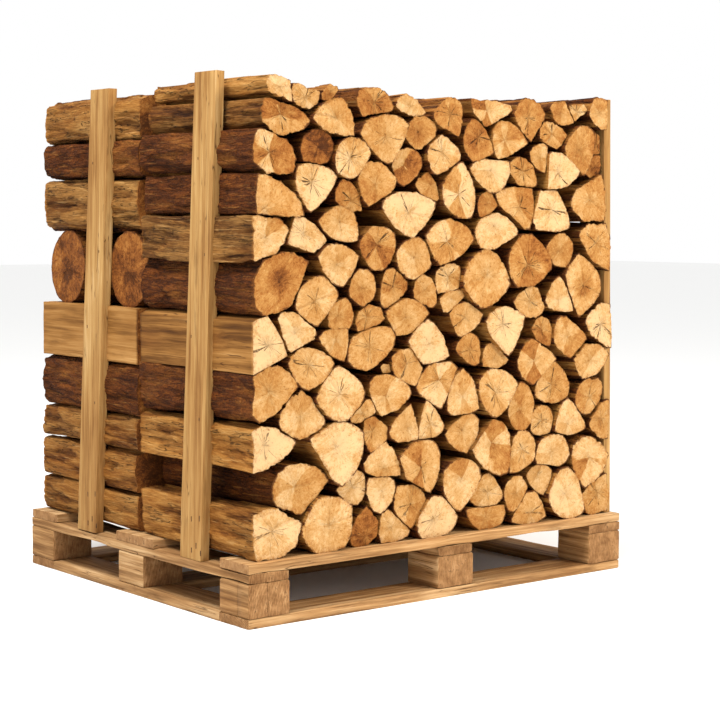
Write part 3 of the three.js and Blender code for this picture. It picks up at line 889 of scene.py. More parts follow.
        "-26.8 100.5, -26.2 102.8, -24.5 104.5, -20.4 104.6, -18.9 103.1, -16.6 101, -17.1 99.9, -18.7 "
        "97.6, -22 96, -24.2 95, -26 96.9"),
    split(0.06, 1.1, -12.2, 93.4,
        "-20.1 94.6, -19.6 96.6, -15.8 97.6, -10.1 97.8, -6.4 96.6, -4.3 95.9, -5.5 93.3, -7.9 90.4, -10.8 "
        "88, -13.2 88.8, -16.7 91, -18.6 92.9",
          checks=(92, 250, 350, 300)),
    split(0.55, 2.0, -5.5, 100,
        "-9.6 99.9, -8.5 101.2, -5.8 102.5, -4.6 101.2, -3.4 98.9, -3 97.2, -3.7 96.5, -7.9 98.1"),
    split(0.28, 1.0, 3.5, 98,
        "-1.5 99.9, 0.6 102, 2.8 104.7, 4.8 105.4, 6.3 103.3, 7.9 100.5, 8.5 97.4, 7.9 93.2, 7.2 92.7, 3.6 "
        "93, 1.4 94.1, -1 95.9", two_tone=0.5),
    split(0.6, 1.8, 13, 96,
        "10.5 95.2, 11 97, 13.3 98.4, 15.1 97.8, 16.5 95.8, 14.9 94.1, 11.8 92.8, 10.7 93.2"),
    split(0.5, 1.6, 24, 95,
        "16.4 98.1, 18.6 99.2, 24.2 99.7, 28.1 99.6, 28.4 96.8, 28.1 92.3, 27.1 90.1, 25.3 90.3, 21.2 "
        "93.6, 17.6 94.8, 16.8 96", two_tone=0.35),
    split(0.4, 1.2, 49, 97,
        "42.8 97.4, 44.6 99.1, 47.4 101, 50.8 102.8, 53 103.2, 54.2 99.9, 54.6 94.6, 54 91.5, 49.9 91.7, "
        "46 92.3, 43.2 94.6", checks=(330,)),
    # eleventh
    split(0.42, 1.3, -53, 106.5,
        "-55.9 111.2, -52.6 110.8, -49.8 109.7, -47.4 107.6, -46.2 104.9, -46.5 102.6, -49.5 102.4, -53.2 "
        "102.5, -57.3 104.7, -56.7 108",
          skin=Skin.BARK, node="log_front_left_09", two_tone=0.6),
    split(0.85, 1.8, -39.5, 108,
        "-43.7 107.7, -42.8 110, -40.8 111.3, -38.2 111.5, -36.5 110.6, -35.6 108.6, -35.6 107.1, -37 105, "
        "-40.1 104.6, -43 105.1", heart=0.3),
    split(0.22, 1.1, -30, 105.8,
        "-34 106.4, -32.8 108.7, -30.8 110, -27.6 109.9, -24.9 108.8, -24.2 106.8, -25.2 104.9, -26.7 "
        "102.6, -30.4 101.2, -33.1 102.3, -33.8 104.2",
          checks=(95, 140, 50, 20, 330, 280, 160)),
    split(0.55, 1.7, -14, 104.5,
        "-16.6 104.2, -15.7 107, -13.9 107.8, -12.6 108.3, -10.2 107.5, -8.9 106.1, -9.1 104.2, -10.5 "
        "102.3, -13.9 100.2, -15.7 101.3", two_tone=0.6),
    split(0.2, 1.2, -2, 108,
        "-6 108, -4.8 110.6, -2 111.9, -0.1 110.9, 2.6 109, 3.5 107.4, 2.9 106.1, -0.1 104.5, -3.2 103.1, "
        "-4.8 103.3, -5.7 105.5"),
    split(0.2, 1.4, 14, 104,
        "8 104.2, 9.2 105.8, 13.3 106.3, 19.5 106.2, 19.8 104.2, 18.4 101.4, 17.8 100.2, 14.6 98.7, 13 "
        "99.8, 9.7 102.2", checks=(270,)),
    split(0.5, 1.8, 25, 104,
        "20.9 103.6, 21 105.9, 23.9 107.2, 26.4 106.6, 28.2 105.3, 29.4 101.4, 29 100.7, 24.9 100.5, 23.6 "
        "101, 21.5 103.3"),
    split(0.35, 1.8, 31, 107.5,
        "27.9 108.6, 28.9 109.7, 32.1 110.7, 33.6 109.5, 33.4 107.4, 32.5 104.2, 29.9 105.4, 28.5 106.4"),
    split(0.1, 1.0, 37.3, 104,
        "34 100.9, 34 107.6, 35.2 108.4, 38 108.1, 41.1 106.9, 44.6 104.2, 44 103.3, 40.5 101, 36.1 99.8, "
        "34.6 100.2"),
    split(0.8, 2.6, 50, 105.5, "47.9 104.1, 49.8 108.2, 52.4 108.4, 52.6 104.5, 50 103.2"),
    # twelfth
    split(0.6, 1.8, -50, 115,
        "-54.5 116, -53.6 118.1, -50.1 117.9, -47.3 116.9, -44.5 115.7, -42.2 114.1, -44 112.3, -49.8 111, "
        "-52 111.3, -53.9 113.4",
          skin=Skin.SPLIT, node="log_front_left_10", two_tone=0.5, weather=0.6),
    split(0.38, 1.1, -34, 114.8,
        "-40.6 114.2, -39.6 115.5, -37 118.1, -32.9 119.7, -31.5 118.2, -29.7 114.9, -29.1 111.2, -32.3 "
        "111.3, -36.1 112, -38.9 113.2", checks=(140, 175)),
    split(0.38, 1.1, -19.5, 111,
        "-26.5 111.4, -25.5 113.5, -22 115.4, -18.9 115.7, -15.8 115.2, -12.9 113.7, -14.1 111.4, -14.9 "
        "108.9, -16.8 105.7, -18.9 105.2, -22 106.7, -24.7 109.3"),
    split(0.5, 1.7, -9.6, 112.5,
        "-13.2 112.1, -12.2 113.7, -9.8 115.6, -7.3 115.8, -4.4 114.4, -4.2 113, -4.9 110.7, -6.7 109.5, "
        "-9.8 108.9, -11.6 110.4", heart=0.7),
    split(0.6, 1.6, 10, 112,
        "5.5 110.5, 6 113.1, 8 115.8, 9.9 115.2, 12 113.2, 13.4 110.8, 14.6 108.7, 11.8 107.2, 8.6 106, 7 "
        "107.6", heart=0.2),
    split(0.42, 1.4, 18.5, 111.5,
        "15.1 110.5, 15.1 113.4, 17.1 115.8, 19.9 115.6, 22.4 114.6, 24.8 112.8, 26.1 111, 23.3 109.8, "
        "19.9 108.2, 17 107.1, 15.7 108.5", two_tone=0.3),
    split(0.45, 1.6, 35, 113.5,
        "30.8 112.1, 31 114.7, 32.2 116.1, 35.5 116.1, 38 115, 40.2 113.6, 39.4 111.6, 36.8 110.3, 33.6 111", two_tone=0.3),
    split(0.58, 1.0, 44.8, 109.8,
        "39.9 111.4, 41.9 113.5, 44.9 115.5, 48 115.3, 49.8 114.1, 50.1 111.1, 49.2 108, 48 105.4, 46.8 "
        "103.9, 44.8 105.2, 41.3 107.9, 40.1 109.6",
          checks=(110, 60, 230, 300)),
    split(0.7, 2.8, 51.5, 111.5, "50.7 109.2, 50.9 114, 52.3 113, 52.6 109.2"),
    # top
    split(0.25, 1.3, -50, 121,
        "-52.9 121.7, -52.3 123.1, -49.8 122.8, -47.9 122.2, -47.2 120.2, -47.5 118.5, -49.5 119.1, -52.6 "
        "120.1",
          skin=Skin.SPLIT, node="log_front_left_11", weather=0.3),
    split(0.25, 1.6, -43, 119,
        "-46.7 120.2, -46.2 121.7, -43.2 121.3, -38.8 120.4, -39.1 118.9, -41.7 116.6, -44.5 117, -46.6 "
        "118.4"),
    split(0.6, 2.4, -36, 120.5, "-38.2 120.3, -36.1 121.7, -34.4 121.6, -34.1 121, -36.4 119.2, -38 119.2"),
    split(0.6, 1.8, -23, 119,
        "-28 119.6, -27.5 121.2, -24.8 121.9, -22 121.7, -20.1 121.1, -18.1 119.4, -17.2 118.3, -18.1 "
        "117.2, -22 116.6, -26 115.6, -27.2 117"),
    split(0.25, 1.9, -12, 118.5,
        "-16.2 118.7, -14.8 120.5, -12.9 120.8, -10.2 119.7, -7.6 117.4, -8.4 116.7, -12 116.7, -14.4 117.5"),
    split(0.5, 1.2, 0.7, 117,
        "-4.7 116.4, -3.2 118.4, -1.4 120.1, 1.1 120.9, 3.8 120.1, 4.7 118.6, 4.1 114.9, 3.2 112.2, 1.8 "
        "112.7, -1.6 114.4", two_tone=0.25),
    split(0.5, 1.5, 12.5, 118.5,
        "7.3 121, 12.4 120.7, 20.3 120, 21 119, 18.6 117.3, 13.4 115.1, 12.2 115.2, 10.8 116, 8.9 117.6, "
        "7.9 119.3", two_tone=0.6),
    split(0.52, 1.3, 26.6, 117.3,
        "22.3 118, 23.4 120.3, 25.5 121.6, 28.3 121.4, 30.7 120.3, 32.2 118.5, 31.2 116.4, 29.4 113.9, "
        "27.9 111.6, 26.4 112.7, 24.3 114.8", checks=(85,)),
    split(0.5, 1.7, 38, 119,
        "34.8 119.9, 35.6 120.8, 39.4 121.4, 40.2 119.9, 42.4 117, 39.9 116.3, 38 116.1, 36.3 117.6"),
    split(0.35, 1.8, 44, 119.5, "41.5 120.9, 46.1 121.2, 47.8 120.2, 46.1 119, 43.3 117.4, 42.7 118.5"),
    split(0.42, 1.3, 52, 119.5,
        "48.8 119.2, 49.7 121.9, 51.1 122.8, 55 122.5, 54.8 115.8, 52.4 115.6, 49.8 117.8"),
]


# ------------------------------------------------------------------- outlines


def clip(points: list[Point], at: Point, normal: Point) -> list[Point]:
    """Keep the part of an outline behind a line.

    Args:
        points: The outline.
        at: A point on the line.
        normal: The line's normal; what lies ahead of it is cut off.

    Returns:
        The outline that is left.
    """
    kept: list[Point] = []
    for (ax, az), (bx, bz) in zip(points, points[1:] + points[:1]):
        da = (ax - at[0]) * normal[0] + (az - at[1]) * normal[1]
        db = (bx - at[0]) * normal[0] + (bz - at[1]) * normal[1]
        if da <= 0:
            kept.append((ax, az))
        if (da < 0 < db) or (db < 0 < da):
            t = da / (da - db)
            kept.append((ax + (bx - ax) * t, az + (bz - az) * t))
    return kept


def middle(points: list[Point]) -> Point:
    """Return an outline's centre of area."""
    area = cx = cz = 0.0
    for (ax, az), (bx, bz) in zip(points, points[1:] + points[:1]):
        cross = ax * bz - bx * az
        area += cross
        cx += (ax + bx) * cross
        cz += (az + bz) * cross
    if abs(area) < 1e-9:
        return points[0]
    return (cx / (3 * area), cz / (3 * area))


def terrace(value: float, steps: float) -> float:
    """Return a value broken into flat steps, with a steep rise in the last sixth of each."""
    base = math.floor(value * steps)
    rise = max(0.0, (value * steps - base - 0.84) / 0.16)
    return (base + rise * rise * (3 - 2 * rise)) / steps


def signed_area(points: list[Point]) -> float:
    """Return an outline's area, positive where it runs anticlockwise."""
    return sum(ax * bz - bx * az for (ax, az), (bx, bz) in zip(points, points[1:] + points[:1])) / 2


def area_of(points: list[Point]) -> float:
    """Return an outline's area."""
    return abs(signed_area(points))


def swollen(points: list[Point], growth: float, left: float, bottom: float) -> list[Point]:
    """Grow an outline outwards, short of the stack's left face and the deck.

    Args:
        points: The outline.
        growth: How far each corner moves away from the middle.
        left: The least place across the stack.
        bottom: The least height.

    Returns:
        The larger outline.
    """
    mx, mz = middle(points)
    grown = []
    for x, z in points:
        span = math.hypot(x - mx, z - mz) or 1.0
        grown.append((max(left, x + (x - mx) / span * growth), max(bottom, z + (z - mz) / span * growth)))
    return grown


def widest_gap(first: list[Point], second: list[Point]) -> tuple[float, Point | None, float]:
    """Find the direction in which one outline lies clearest of another.

    Args:
        first: The outline to look from.
        second: The outline to look towards.

    Returns:
        The gap in that direction, negative where they share space; the direction, or None;
        and how far along it the halfway place between them is.
    """
    ax, az = middle(first)
    bx, bz = middle(second)
    best: tuple[float, Point | None, float] = (-math.inf, None, 0.0)
    for shape in (first, second):
        for (px, pz), (qx, qz) in zip(shape, shape[1:] + shape[:1]):
            length = math.hypot(qx - px, qz - pz)
            if length < SHORTEST_SIDE:
                continue
            nx, nz = (qz - pz) / length, -(qx - px) / length
            for ux, uz in ((nx, nz), (-nx, -nz)):
                if (bx - ax) * ux + (bz - az) * uz <= 0:
                    continue
                high = max(x * ux + z * uz for x, z in first)
                low = min(x * ux + z * uz for x, z in second)
                if low - high > best[0]:
                    best = (low - high, (ux, uz), (low + high) / 2)
    return best


def part_neighbours(plan: list[Split], gap: float) -> None:
    """Trim logs that would share space, halfway between each pair.

    Args:
        plan: The logs of one tier.
        gap: The least space left between two logs.
    """
    for i, first in enumerate(plan):
        for second in plan[i + 1 :]:
            ax, az = middle(first.outline)
            bx, bz = middle(second.outline)
            if math.hypot(ax - bx, az - bz) > NEIGHBOUR_REACH:
                continue
            space, axis, halfway = widest_gap(first.outline, second.outline)
            if axis is None or space >= gap:
                continue
            ux, uz = axis
            for trimmed, side in ((first, 1.0), (second, -1.0)):
                at = halfway - side * gap / 2
                trimmed.outline = clip(trimmed.outline, (ux * at, uz * at), (ux * side, uz * side))


@dataclass
class TierPacker:
    """Fills the back tier with split shapes between the logs that are already placed.

    held_back is the space of the crosswise logs: its right side, its foot and its top.
    """

    left: float
    right: float
    bottom: float
    top: float
    held_back: tuple[float, float, float]
    gap: float = 4 * MM
    spacing: float = 0.1
    seed: int = 31
    rounds: int = 4
    least_area: float = 0.0012

    def _cell(self, sites: list[Vector], index: int) -> list[Point]:
        """Return the space that belongs to one site."""
        here = sites[index]
        cell = [(self.left, self.bottom), (self.right, self.bottom), (self.right, self.top), (self.left, self.top)]
        for other, there in enumerate(sites):
            apart = there - here
            if other == index or apart.length > 3 * self.spacing:
                continue
            at = here + apart * 0.5
            unit = Vector((apart.x, apart.y)).normalized()
            cell = clip(cell, (at.x - unit.x * self.gap / 2, at.y - unit.y * self.gap / 2), (unit.x, unit.y))
            if len(cell) < 3:
                return []
        edge, low, high = self.held_back
        if any(x < edge and low < z < high for x, z in cell) or (here.x < edge and low < here.y < high):
            tries = [
                clip(cell, (edge, 0.0), (-1.0, 0.0)),
                clip(cell, (0.0, low), (0.0, 1.0)),
                clip(cell, (0.0, high), (0.0, -1.0)),
            ]
            cell = max(tries, key=lambda shape: area_of(shape) if len(shape) > 2 else 0.0)
        return cell

    def _sites(self, draw: random.Random) -> list[Vector]:
        """Return uneven rows of places, one for each log."""
        sites: list[Vector] = []
        z = self.bottom + self.spacing * 0.42
        row = 0
        while z < self.top:
            x = self.left + self.spacing * (0.3 + 0.5 * (row % 2))
            while x < self.right:
                sites.append(Vector((x + draw.uniform(-0.03, 0.03), z + draw.uniform(-0.022, 0.022), 0.0)))
                x += self.spacing * draw.uniform(0.85, 1.3)
            z += self.spacing * 0.86
            row += 1
        return sites

    def _spread(self, sites: list[Vector]) -> None:
        """Move each place towards the middle of its space."""
        for index, site in enumerate(sites):
            cell = self._cell(sites, index)
            if len(cell) > 2:
                mx, mz = middle(cell)
                site.x += (mx - site.x) * 0.6
                site.y += (mz - site.y) * 0.6

    def _riven(self, cell: list[Point], draw: random.Random) -> list[Point]:
        """Cut a space's sides as an axe would, in slants at the tier's right and top."""
        mx, mz = middle(cell)
        if max(x for x, _ in cell) > self.right - 1 * MM:
            turn = draw.choice((-1, 1)) * draw.uniform(0.2, 0.55)
            cell = clip(cell, (self.right - draw.uniform(2, 9) * MM, mz), (math.cos(turn), math.sin(turn)))
        if max(z for _, z in cell) > self.top - 1 * MM:
            turn = draw.choice((-1, 1)) * draw.uniform(0.15, 0.5)
            cell = clip(cell, (mx, self.top - draw.uniform(1, 8) * MM), (math.sin(turn), math.cos(turn)))
        for _ in range(draw.choice((0, 1, 1, 2))):
            turn = draw.uniform(0, TAU)
            ux, uz = math.cos(turn), math.sin(turn)
            reach = max((x - mx) * ux + (z - mz) * uz for x, z in cell) * draw.uniform(0.8, 0.95)
            cell = clip(cell, (mx + ux * reach, mz + uz * reach), (ux, uz))
        return cell

    def fill(self) -> list[Split]:
        """Return the plan of the tier's inner logs."""
        draw = random.Random(self.seed)
        sites = self._sites(draw)
        for _ in range(self.rounds):
            self._spread(sites)
        plan = []
        for index in range(len(sites)):
            cell = self._cell(sites, index)
            if len(cell) < 3 or area_of(cell) < self.least_area:
                continue
            mx, mz = middle(cell)
            cell = self._riven(cell, draw)
            turn, off = draw.uniform(0, TAU), draw.uniform(0.0, 0.03)
            plan.append(
                Split(
                    tone=draw.triangular(0.05, 0.75, 0.35),
                    set_back=draw.uniform(0.0, 0.022),
                    pith=(mx + off * math.cos(turn), mz + off * math.sin(turn)),
                    outline=cell,
                    heart=draw.choice((0.0, 0.0, 0.3, 0.8)),
                    two_tone=draw.uniform(0.05, 0.5),
                    weather=draw.uniform(0.1, 0.6),
                    checks=tuple(draw.uniform(0, 360) for _ in range(draw.choice((0, 1, 2)))),
                )
            )
        return plan


# ------------------------------------------------------------------- log maker


class Lay(Enum):
    """Which way a log lies."""

    FRONT_TO_BACK = 0
    SIDE_TO_SIDE = 1


class Cover(IntEnum):
    """Material slots of a log's mesh."""

    END = 0
    BARK = 1
    RIVEN = 2
    SAWN = 3


Covers = list[tuple[float, Cover]]


@dataclass
class LogMaker:
    """Builds the logs of one piece into a single mesh, with the attributes its finishes read.

    rims holds each vertex's share of the way from the log's middle to its outline.
    """

    finishes: Finishes
    name: str
    logs: list[bpy.types.Mesh] = field(default_factory=list)
    bm: bmesh.types.BMesh = field(init=False)
    rims: dict[bmesh.types.BMVert, float] = field(init=False)

    def _begin(self) -> None:
        """Start an empty mesh with the attribute layers."""
        self.bm = bmesh.new()
        self.rims = {}
        layers = self.bm.verts.layers.float_vector
        self.grain = layers.new("grain")
        self.trait = layers.new("trait")
        self.mood = layers.new("mood")

    def add(
        self, plan: Split, start: float, stop: float, seed: float, fine: bool, lay: Lay = Lay.FRONT_TO_BACK
    ) -> None:
        """Build one log.

        Args:
            plan: The log's outline and looks.
            start: Where it begins along its length, in metres.
            stop: Where it ends along its length.
            seed: A number that makes its roughness its own.
            fine: True for a log whose long side is in sight.
            lay: Which way it lies.
        """
        worn = 1.5 * MM if plan.skin is Skin.SAWN else 2.8 * MM
        outline = self._rounded(plan.outline, FINE_PITCH if fine else COARSE_PITCH, worn)
        centre = middle(outline)
        covers = self._covers(plan, outline, centre)
        self._begin()
        bm = self.bm
        ring = [bm.verts.new((x, start, z)) for x, z in outline]
        self.rims.update((v, 1.0) for v in ring)
        first = [bm.edges.new((a, b)) for a, b in zip(ring, ring[1:] + ring[:1])]
        spacing = NODE_SPACING if plan.node else FINE_SPACING if fine else COARSE_SPACING
        count = max(6, int((stop - start) / spacing))
        sides: list[bmesh.types.BMFace] = []
        last = first
        for _ in range(count):
            last, fresh, faces = self._extrude(last, 1.0)
            bmesh.ops.translate(bm, verts=fresh, vec=(0, (stop - start) / count, 0))
            sides += faces
        for edges, y in ((first, start), (last, stop)):
            hidden = abs(y) < JOINT_ZONE and lay is Lay.FRONT_TO_BACK
            self._close(edges, y, centre, HIDDEN_END_RINGS if hidden else END_RINGS)
        # the ends' faces keep Cover.END, which every new face has
        for face in sides:
            x, _, z = face.calc_center_median()
            face.material_index = self._cover_at(covers, x - centre[0], z - centre[1])
        for face in bm.faces:
            face.smooth = True
        for edge in [*first, *last]:
            edge.smooth = False
        self._roughen(plan, centre, covers, start, stop, seed, fine)
        self._mark_corners(sides, 0.62 if fine else 0.8)
        if lay is Lay.SIDE_TO_SIDE:
            for v in bm.verts:
                v.co = Vector((v.co.y, v.co.x, v.co.z))
        bmesh.ops.recalc_face_normals(bm, faces=bm.faces[:])
        mesh = bpy.data.meshes.new(self.name)
        bm.to_mesh(mesh)
        bm.free()
        self.logs.append(mesh)

    @staticmethod
    def _rounded(points: list[Point], pitch: float, radius: float) -> list[Point]:
        """Round an outline's corners and space its points evenly.

        Args:
            points: The outline.
            pitch: The greatest distance between points.
            radius: How much of each corner is worn off.

        Returns:
            The new outline, anticlockwise.
        """
        bm = bmesh.new()
        bm.faces.new([bm.verts.new((x, z, 0.0)) for x, z in points])
        bmesh.ops.remove_doubles(bm, verts=bm.verts[:], dist=1.5 * MM)
        face = bm.faces[:][0]
        offset = min(radius, min(e.calc_length() for e in face.edges) * 0.3)
        bmesh.ops.bevel(
            bm, geom=face.verts[:], offset=offset, segments=2, profile=0.5, material=-1, affect="VERTICES"
        )
        for edge in bm.edges[:]:
            cuts = int(edge.calc_length() / pitch)
            if cuts:
                bmesh.ops.subdivide_edges(bm, edges=[edge], cuts=cuts)
        face = max(bm.faces, key=lambda f: len(f.verts))
        result = [(loop.vert.co.x, loop.vert.co.y) for loop in face.loops]
        bm.free()
        return result if signed_area(result) > 0 else result[::-1]

    def _extrude(
        self, loop: list[bmesh.types.BMEdge], rim: float
    ) -> tuple[list[bmesh.types.BMEdge], list[bmesh.types.BMVert], list[bmesh.types.BMFace]]:
        """Extrude a loop of edges.

        Args:
            loop: The edges.
            rim: The new vertices' share of the way from the log's middle to its outline.

        Returns:
            The new edges, vertices and faces.
        """
        geom = bmesh.ops.extrude_edge_only(self.bm, edges=loop)["geom"]
        verts = [g for g in geom if isinstance(g, bmesh.types.BMVert)]
        faces = [g for g in geom if isinstance(g, bmesh.types.BMFace)]
        fresh = set(verts)
        edges = [g for g in geom if isinstance(g, bmesh.types.BMEdge) and fresh.issuperset(g.verts)]
        self.rims.update((v, rim) for v in verts)
        return edges, verts, faces

    def _close(
        self, edges: list[bmesh.types.BMEdge], y: float, centre: Point, rings: tuple[float, ...]
    ) -> None:
        """Close an end with rings that shrink towards the middle.

        Args:
            edges: The end's outline.
            y: Where the end is.
            centre: The outline's middle.
            rings: Each ring's size as a share of the outline.
        """
        to_centre = Matrix.Translation((centre[0], y, centre[1])).inverted()
        shrunk = 1.0
        for size in rings:
            edges, fresh, _ = self._extrude(edges, size)
            bmesh.ops.scale(self.bm, vec=(size / shrunk,) * 3, space=to_centre, verts=fresh)
            for v in fresh:
                v.co.y = y
            shrunk = size
        cap = bmesh.ops.contextual_create(self.bm, geom=edges)["faces"]
        self.rims.update((v, 0.0) for v in bmesh.ops.poke(self.bm, faces=cap)["verts"])

    @staticmethod
    def _covers(plan: Split, outline: list[Point], centre: Point) -> Covers:
        """Settle what covers each stretch of the outline.

        Args:
            plan: The log's plan.
            outline: The rounded outline.
            centre: Its middle.

        Returns:
            The angle of each point, in order, with its cover.
        """
        reach = [math.hypot(x - plan.pith[0], z - plan.pith[1]) for x, z in outline]
        farthest = sorted(reach)[int(len(reach) * 0.9)]
        count = len(outline)
        raw = []
        for i, (x, z) in enumerate(outline):
            ax, az = outline[(i - 4) % count]
            bx, bz = outline[(i + 4) % count]
            turn = math.atan2(bz - z, bx - x) - math.atan2(z - az, x - ax)
            turn = (turn + math.pi) % TAU - math.pi
            barked = turn > 0.16 and reach[i] > farthest * 0.72
            if x < centre[0] and abs(x - centre[0]) > 0.6 * abs(z - centre[1]):
                barked = {Skin.BARK: True, Skin.SPLIT: False}.get(plan.skin, barked)
            raw.append(barked)
        covers = []
        for i, (x, z) in enumerate(outline):
            cover = Cover.BARK if sum(raw[(i + k) % count] for k in range(-2, 3)) >= 3 else Cover.RIVEN
            if plan.skin is Skin.SAWN:
                cover = Cover.SAWN
            covers.append((math.atan2(z - centre[1], x - centre[0]), cover))
        return sorted(covers)

    @staticmethod
    def _cover_at(covers: Covers, dx: float, dz: float) -> Cover:
        """Return the cover in a direction from the middle."""
        return covers[bisect_left(covers, (math.atan2(dz, dx),)) % len(covers)][1]

    @staticmethod
    def _mark_corners(sides: list[bmesh.types.BMFace], crisp: float) -> None:
        """Keep an arris crisp where two long faces of a log meet.

        Args:
            sides: The log's long faces.
            crisp: The least angle between two faces that keeps their edge sharp.
        """
        for face in sides:
            for edge in face.edges:
                if edge.smooth and len(edge.link_faces) == 2 and edge.calc_face_angle(0.0) > crisp:
                    edge.smooth = False

    def _roughen(
        self, plan: Split, centre: Point, covers: Covers, start: float, stop: float, seed: float, fine: bool
    ) -> None:
        """Give a log its growth, its torn fibres and its uneven saw cuts.

        Args:
            plan: The log's plan.
            centre: The outline's middle.
            covers: What covers each stretch of the outline.
            start: Where it begins.
            stop: Where it ends.
            seed: Its own number.
            fine: True for a log whose long side is in sight.
        """
        draw = random.Random(int(seed * 1000) + 7)
        lean_x, lean_z = draw.uniform(-0.05, 0.05), draw.uniform(-0.045, 0.045)
        sag_x, sag_z = draw.uniform(-2, 2) * MM, draw.uniform(-1.5, 1.5) * MM
        lumps = {Skin.SAWN: 0.15, Skin.BARK: 1.1}.get(plan.skin, 1.0) * plan.rough
        for v, rim in self.rims.items():
            x, y, z = v.co
            dx, dz = x - centre[0], z - centre[1]
            span = math.hypot(dx, dz) or 1.0
            at_end = min(abs(y - start), abs(y - stop)) < END_SLACK
            bark = float(rim > 0.9 and self._cover_at(covers, dx, dz) is Cover.BARK)
            push = noise.noise(Vector((x * 13, z * 13, y * 3.0 + seed * 5))) * 4.0 * MM * lumps
            push += noise.noise(Vector((x * 75, z * 75, y * 6 + seed * 3))) * 1.8 * MM * lumps
            ledge = self._ledges(x, y, z, seed, bark) * lumps
            tone = plan.weather if plan.skin is Skin.SAWN and not at_end else plan.tone
            if at_end:
                chip = max(0.0, noise.noise(Vector((x * 90, z * 90, seed * 2.3))) - 0.25)
                push += (noise.noise(Vector((x * 230, z * 230, seed))) * 1.0 * MM - chip * 7 * MM) * lumps
                push -= ledge * (0.6 if fine else 0.0)
                push *= rim**3
                v[self.mood] = (plan.heart, plan.two_tone, bark)
            else:
                ledge *= 1.0 if fine else 0.7
                push -= ledge
                # the ledges' depth goes into mood, where the side finishes darken it as painted shade in the
                # recesses
                v[self.mood] = (min(1.0, ledge / (9 * MM)), plan.weather, bark)
            v[self.grain] = (x - plan.pith[0], z - plan.pith[1], y)
            # ends at the joint between the tiers are darkened as painted shade of the gap between the tiers
            v[self.trait] = (JOINT_SHADE_TONE if at_end and abs(y) < JOINT_ZONE else tone, seed, rim)
            bow = math.sin((y - start) / (stop - start) * math.pi)
            v.co.x = x + dx / span * push + sag_x * bow
            v.co.z = z + dz / span * push + sag_z * bow
            if at_end:
                inward = 1.0 if abs(y - start) < END_SLACK else -1.0
                v.co.y = y + (lean_x * dx + lean_z * dz) + inward * self._cut_depth(plan, x, y, z, seed, rim)

    @staticmethod
    def _cut_depth(plan: Split, x: float, y: float, z: float, seed: float, rim: float) -> float:
        """Return how far a sawn end lies behind its plane at a point.

        Args:
            plan: The log's plan.
            x: Place across the log.
            y: Place along it.
            z: Height.
            seed: The log's own number.
            rim: The point's share of the way from the middle to the outline.

        Returns:
            The depth in metres: the saw's waves, and the open checks.
        """
        wave = noise.noise(Vector((x * 45, z * 45, seed * 9 + y))) * 1.3 * MM
        wave += noise.noise(Vector((x * 170, z * 170, seed * 4 + y))) * 0.7 * MM
        px, pz = x - plan.pith[0], z - plan.pith[1]
        crack = 0.0
        for degrees in plan.checks:
            cx, cz = math.cos(math.radians(degrees)), math.sin(math.radians(degrees))
            if px * cx + pz * cz > 0 and rim < 0.97:
                crack = max(crack, 1.0 - abs(px * cz - pz * cx) / (4 * MM))
        return wave * (0.6 if rim > 0.99 else 1.0) + crack * 2.5 * MM

    @staticmethod
    def _ledges(x: float, y: float, z: float, seed: float, bark: float) -> float:
        """Return how deep the broken layers of a long face lie at a point.

        Args:
            x: Place across the log.
            y: Place along it.
            z: Height.
            seed: The log's own number.
            bark: 1 on bark, 0 on riven wood.

        Returns:
            The depth in metres.
        """
        wide, long = (34.0, 8.0) if bark else (30.0, 5.0)
        broad = noise.noise(Vector((x * wide, z * wide, y * long + seed * 4))) * 0.5 + 0.5
        narrow = noise.noise(Vector((x * wide * 2.7, z * wide * 2.7, y * long * 2.2 + seed * 7))) * 0.5 + 0.5
        depth = terrace(broad, 4.0) * 19.0 * MM + terrace(narrow, 3.0) * 8.0 * MM
        return max(0.0, depth - 8.5 * MM) * (0.7 if bark else 1.0)

    def finish(self, node: str, slot: str) -> None:
        """Turn the logs into one piece that stands for a node of the frame."""
        bm = bmesh.new()
        for part in self.logs:
            bm.from_mesh(part)
            bpy.data.meshes.remove(part)
        mesh = bpy.data.meshes.new(self.name)
        bm.to_mesh(mesh)
        bm.free()
        piece = bpy.data.objects.new(self.name, mesh)
        bpy.context.scene.collection.objects.link(piece)
        for material in (self.finishes.end, self.finishes.bark, self.finishes.split, self.finishes.beam):
            mesh.materials.append(material)
        place_piece(piece, node)


def place_piece(piece: bpy.types.Object, node: str) -> None:
    """Tie a piece to the frame and report it."""
    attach(piece, "root")
    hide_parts(node)
    log.info("%s: %d faces for %s", piece.name, len(piece.data.polygons), node)


# ------------------------------------------------------------------ the tiers


BEAM_SHAPE = ((0.0, 0.02), (0.0, 0.97), (0.85, 0.97), (1.0, 0.5), (0.88, 0.02))
ODD_SHAPE = (
    (0.01, 0.25), (0.0, 0.72), (0.08, 0.96), (0.45, 1.0), (0.8, 0.86), (1.0, 0.5), (0.8, 0.1), (0.35, 0.0),
    (0.09, 0.05),
)
EVEN_SHAPE = (
    (0.03, 0.12), (0.0, 0.5), (0.04, 0.88), (0.3, 1.0), (0.7, 0.93), (1.0, 0.62), (0.9, 0.3), (0.6, 0.05),
    (0.2, 0.0),
)
BACK_LEFT_LOOKS = (
    dict(skin=Skin.SPLIT, weather=0.5, tone=0.15),
    dict(skin=Skin.SPLIT, weather=0.35, tone=0.45),
    dict(skin=Skin.SPLIT, weather=0.5, tone=0.4),
    dict(skin=Skin.BARK, weather=0.4, tone=0.5),
    dict(skin=Skin.SAWN, weather=0.05, tone=0.05),
    dict(skin=Skin.SPLIT, weather=0.6, tone=0.15),
    dict(skin=Skin.BARK, weather=0.4, tone=0.4),
    dict(skin=Skin.SPLIT, weather=0.45, tone=0.1),
)
CROSS_LOOKS = {
    "log_cross_front": dict(tone=0.88, heart=0.3, checks=(95, 215)),
    "log_cross_middle": dict(tone=0.86, heart=0.2, checks=(20,)),
    "log_cross_back": dict(tone=0.88, heart=0.5, checks=(60, 190, 320)),
}
CROSS_CORNERS = 14


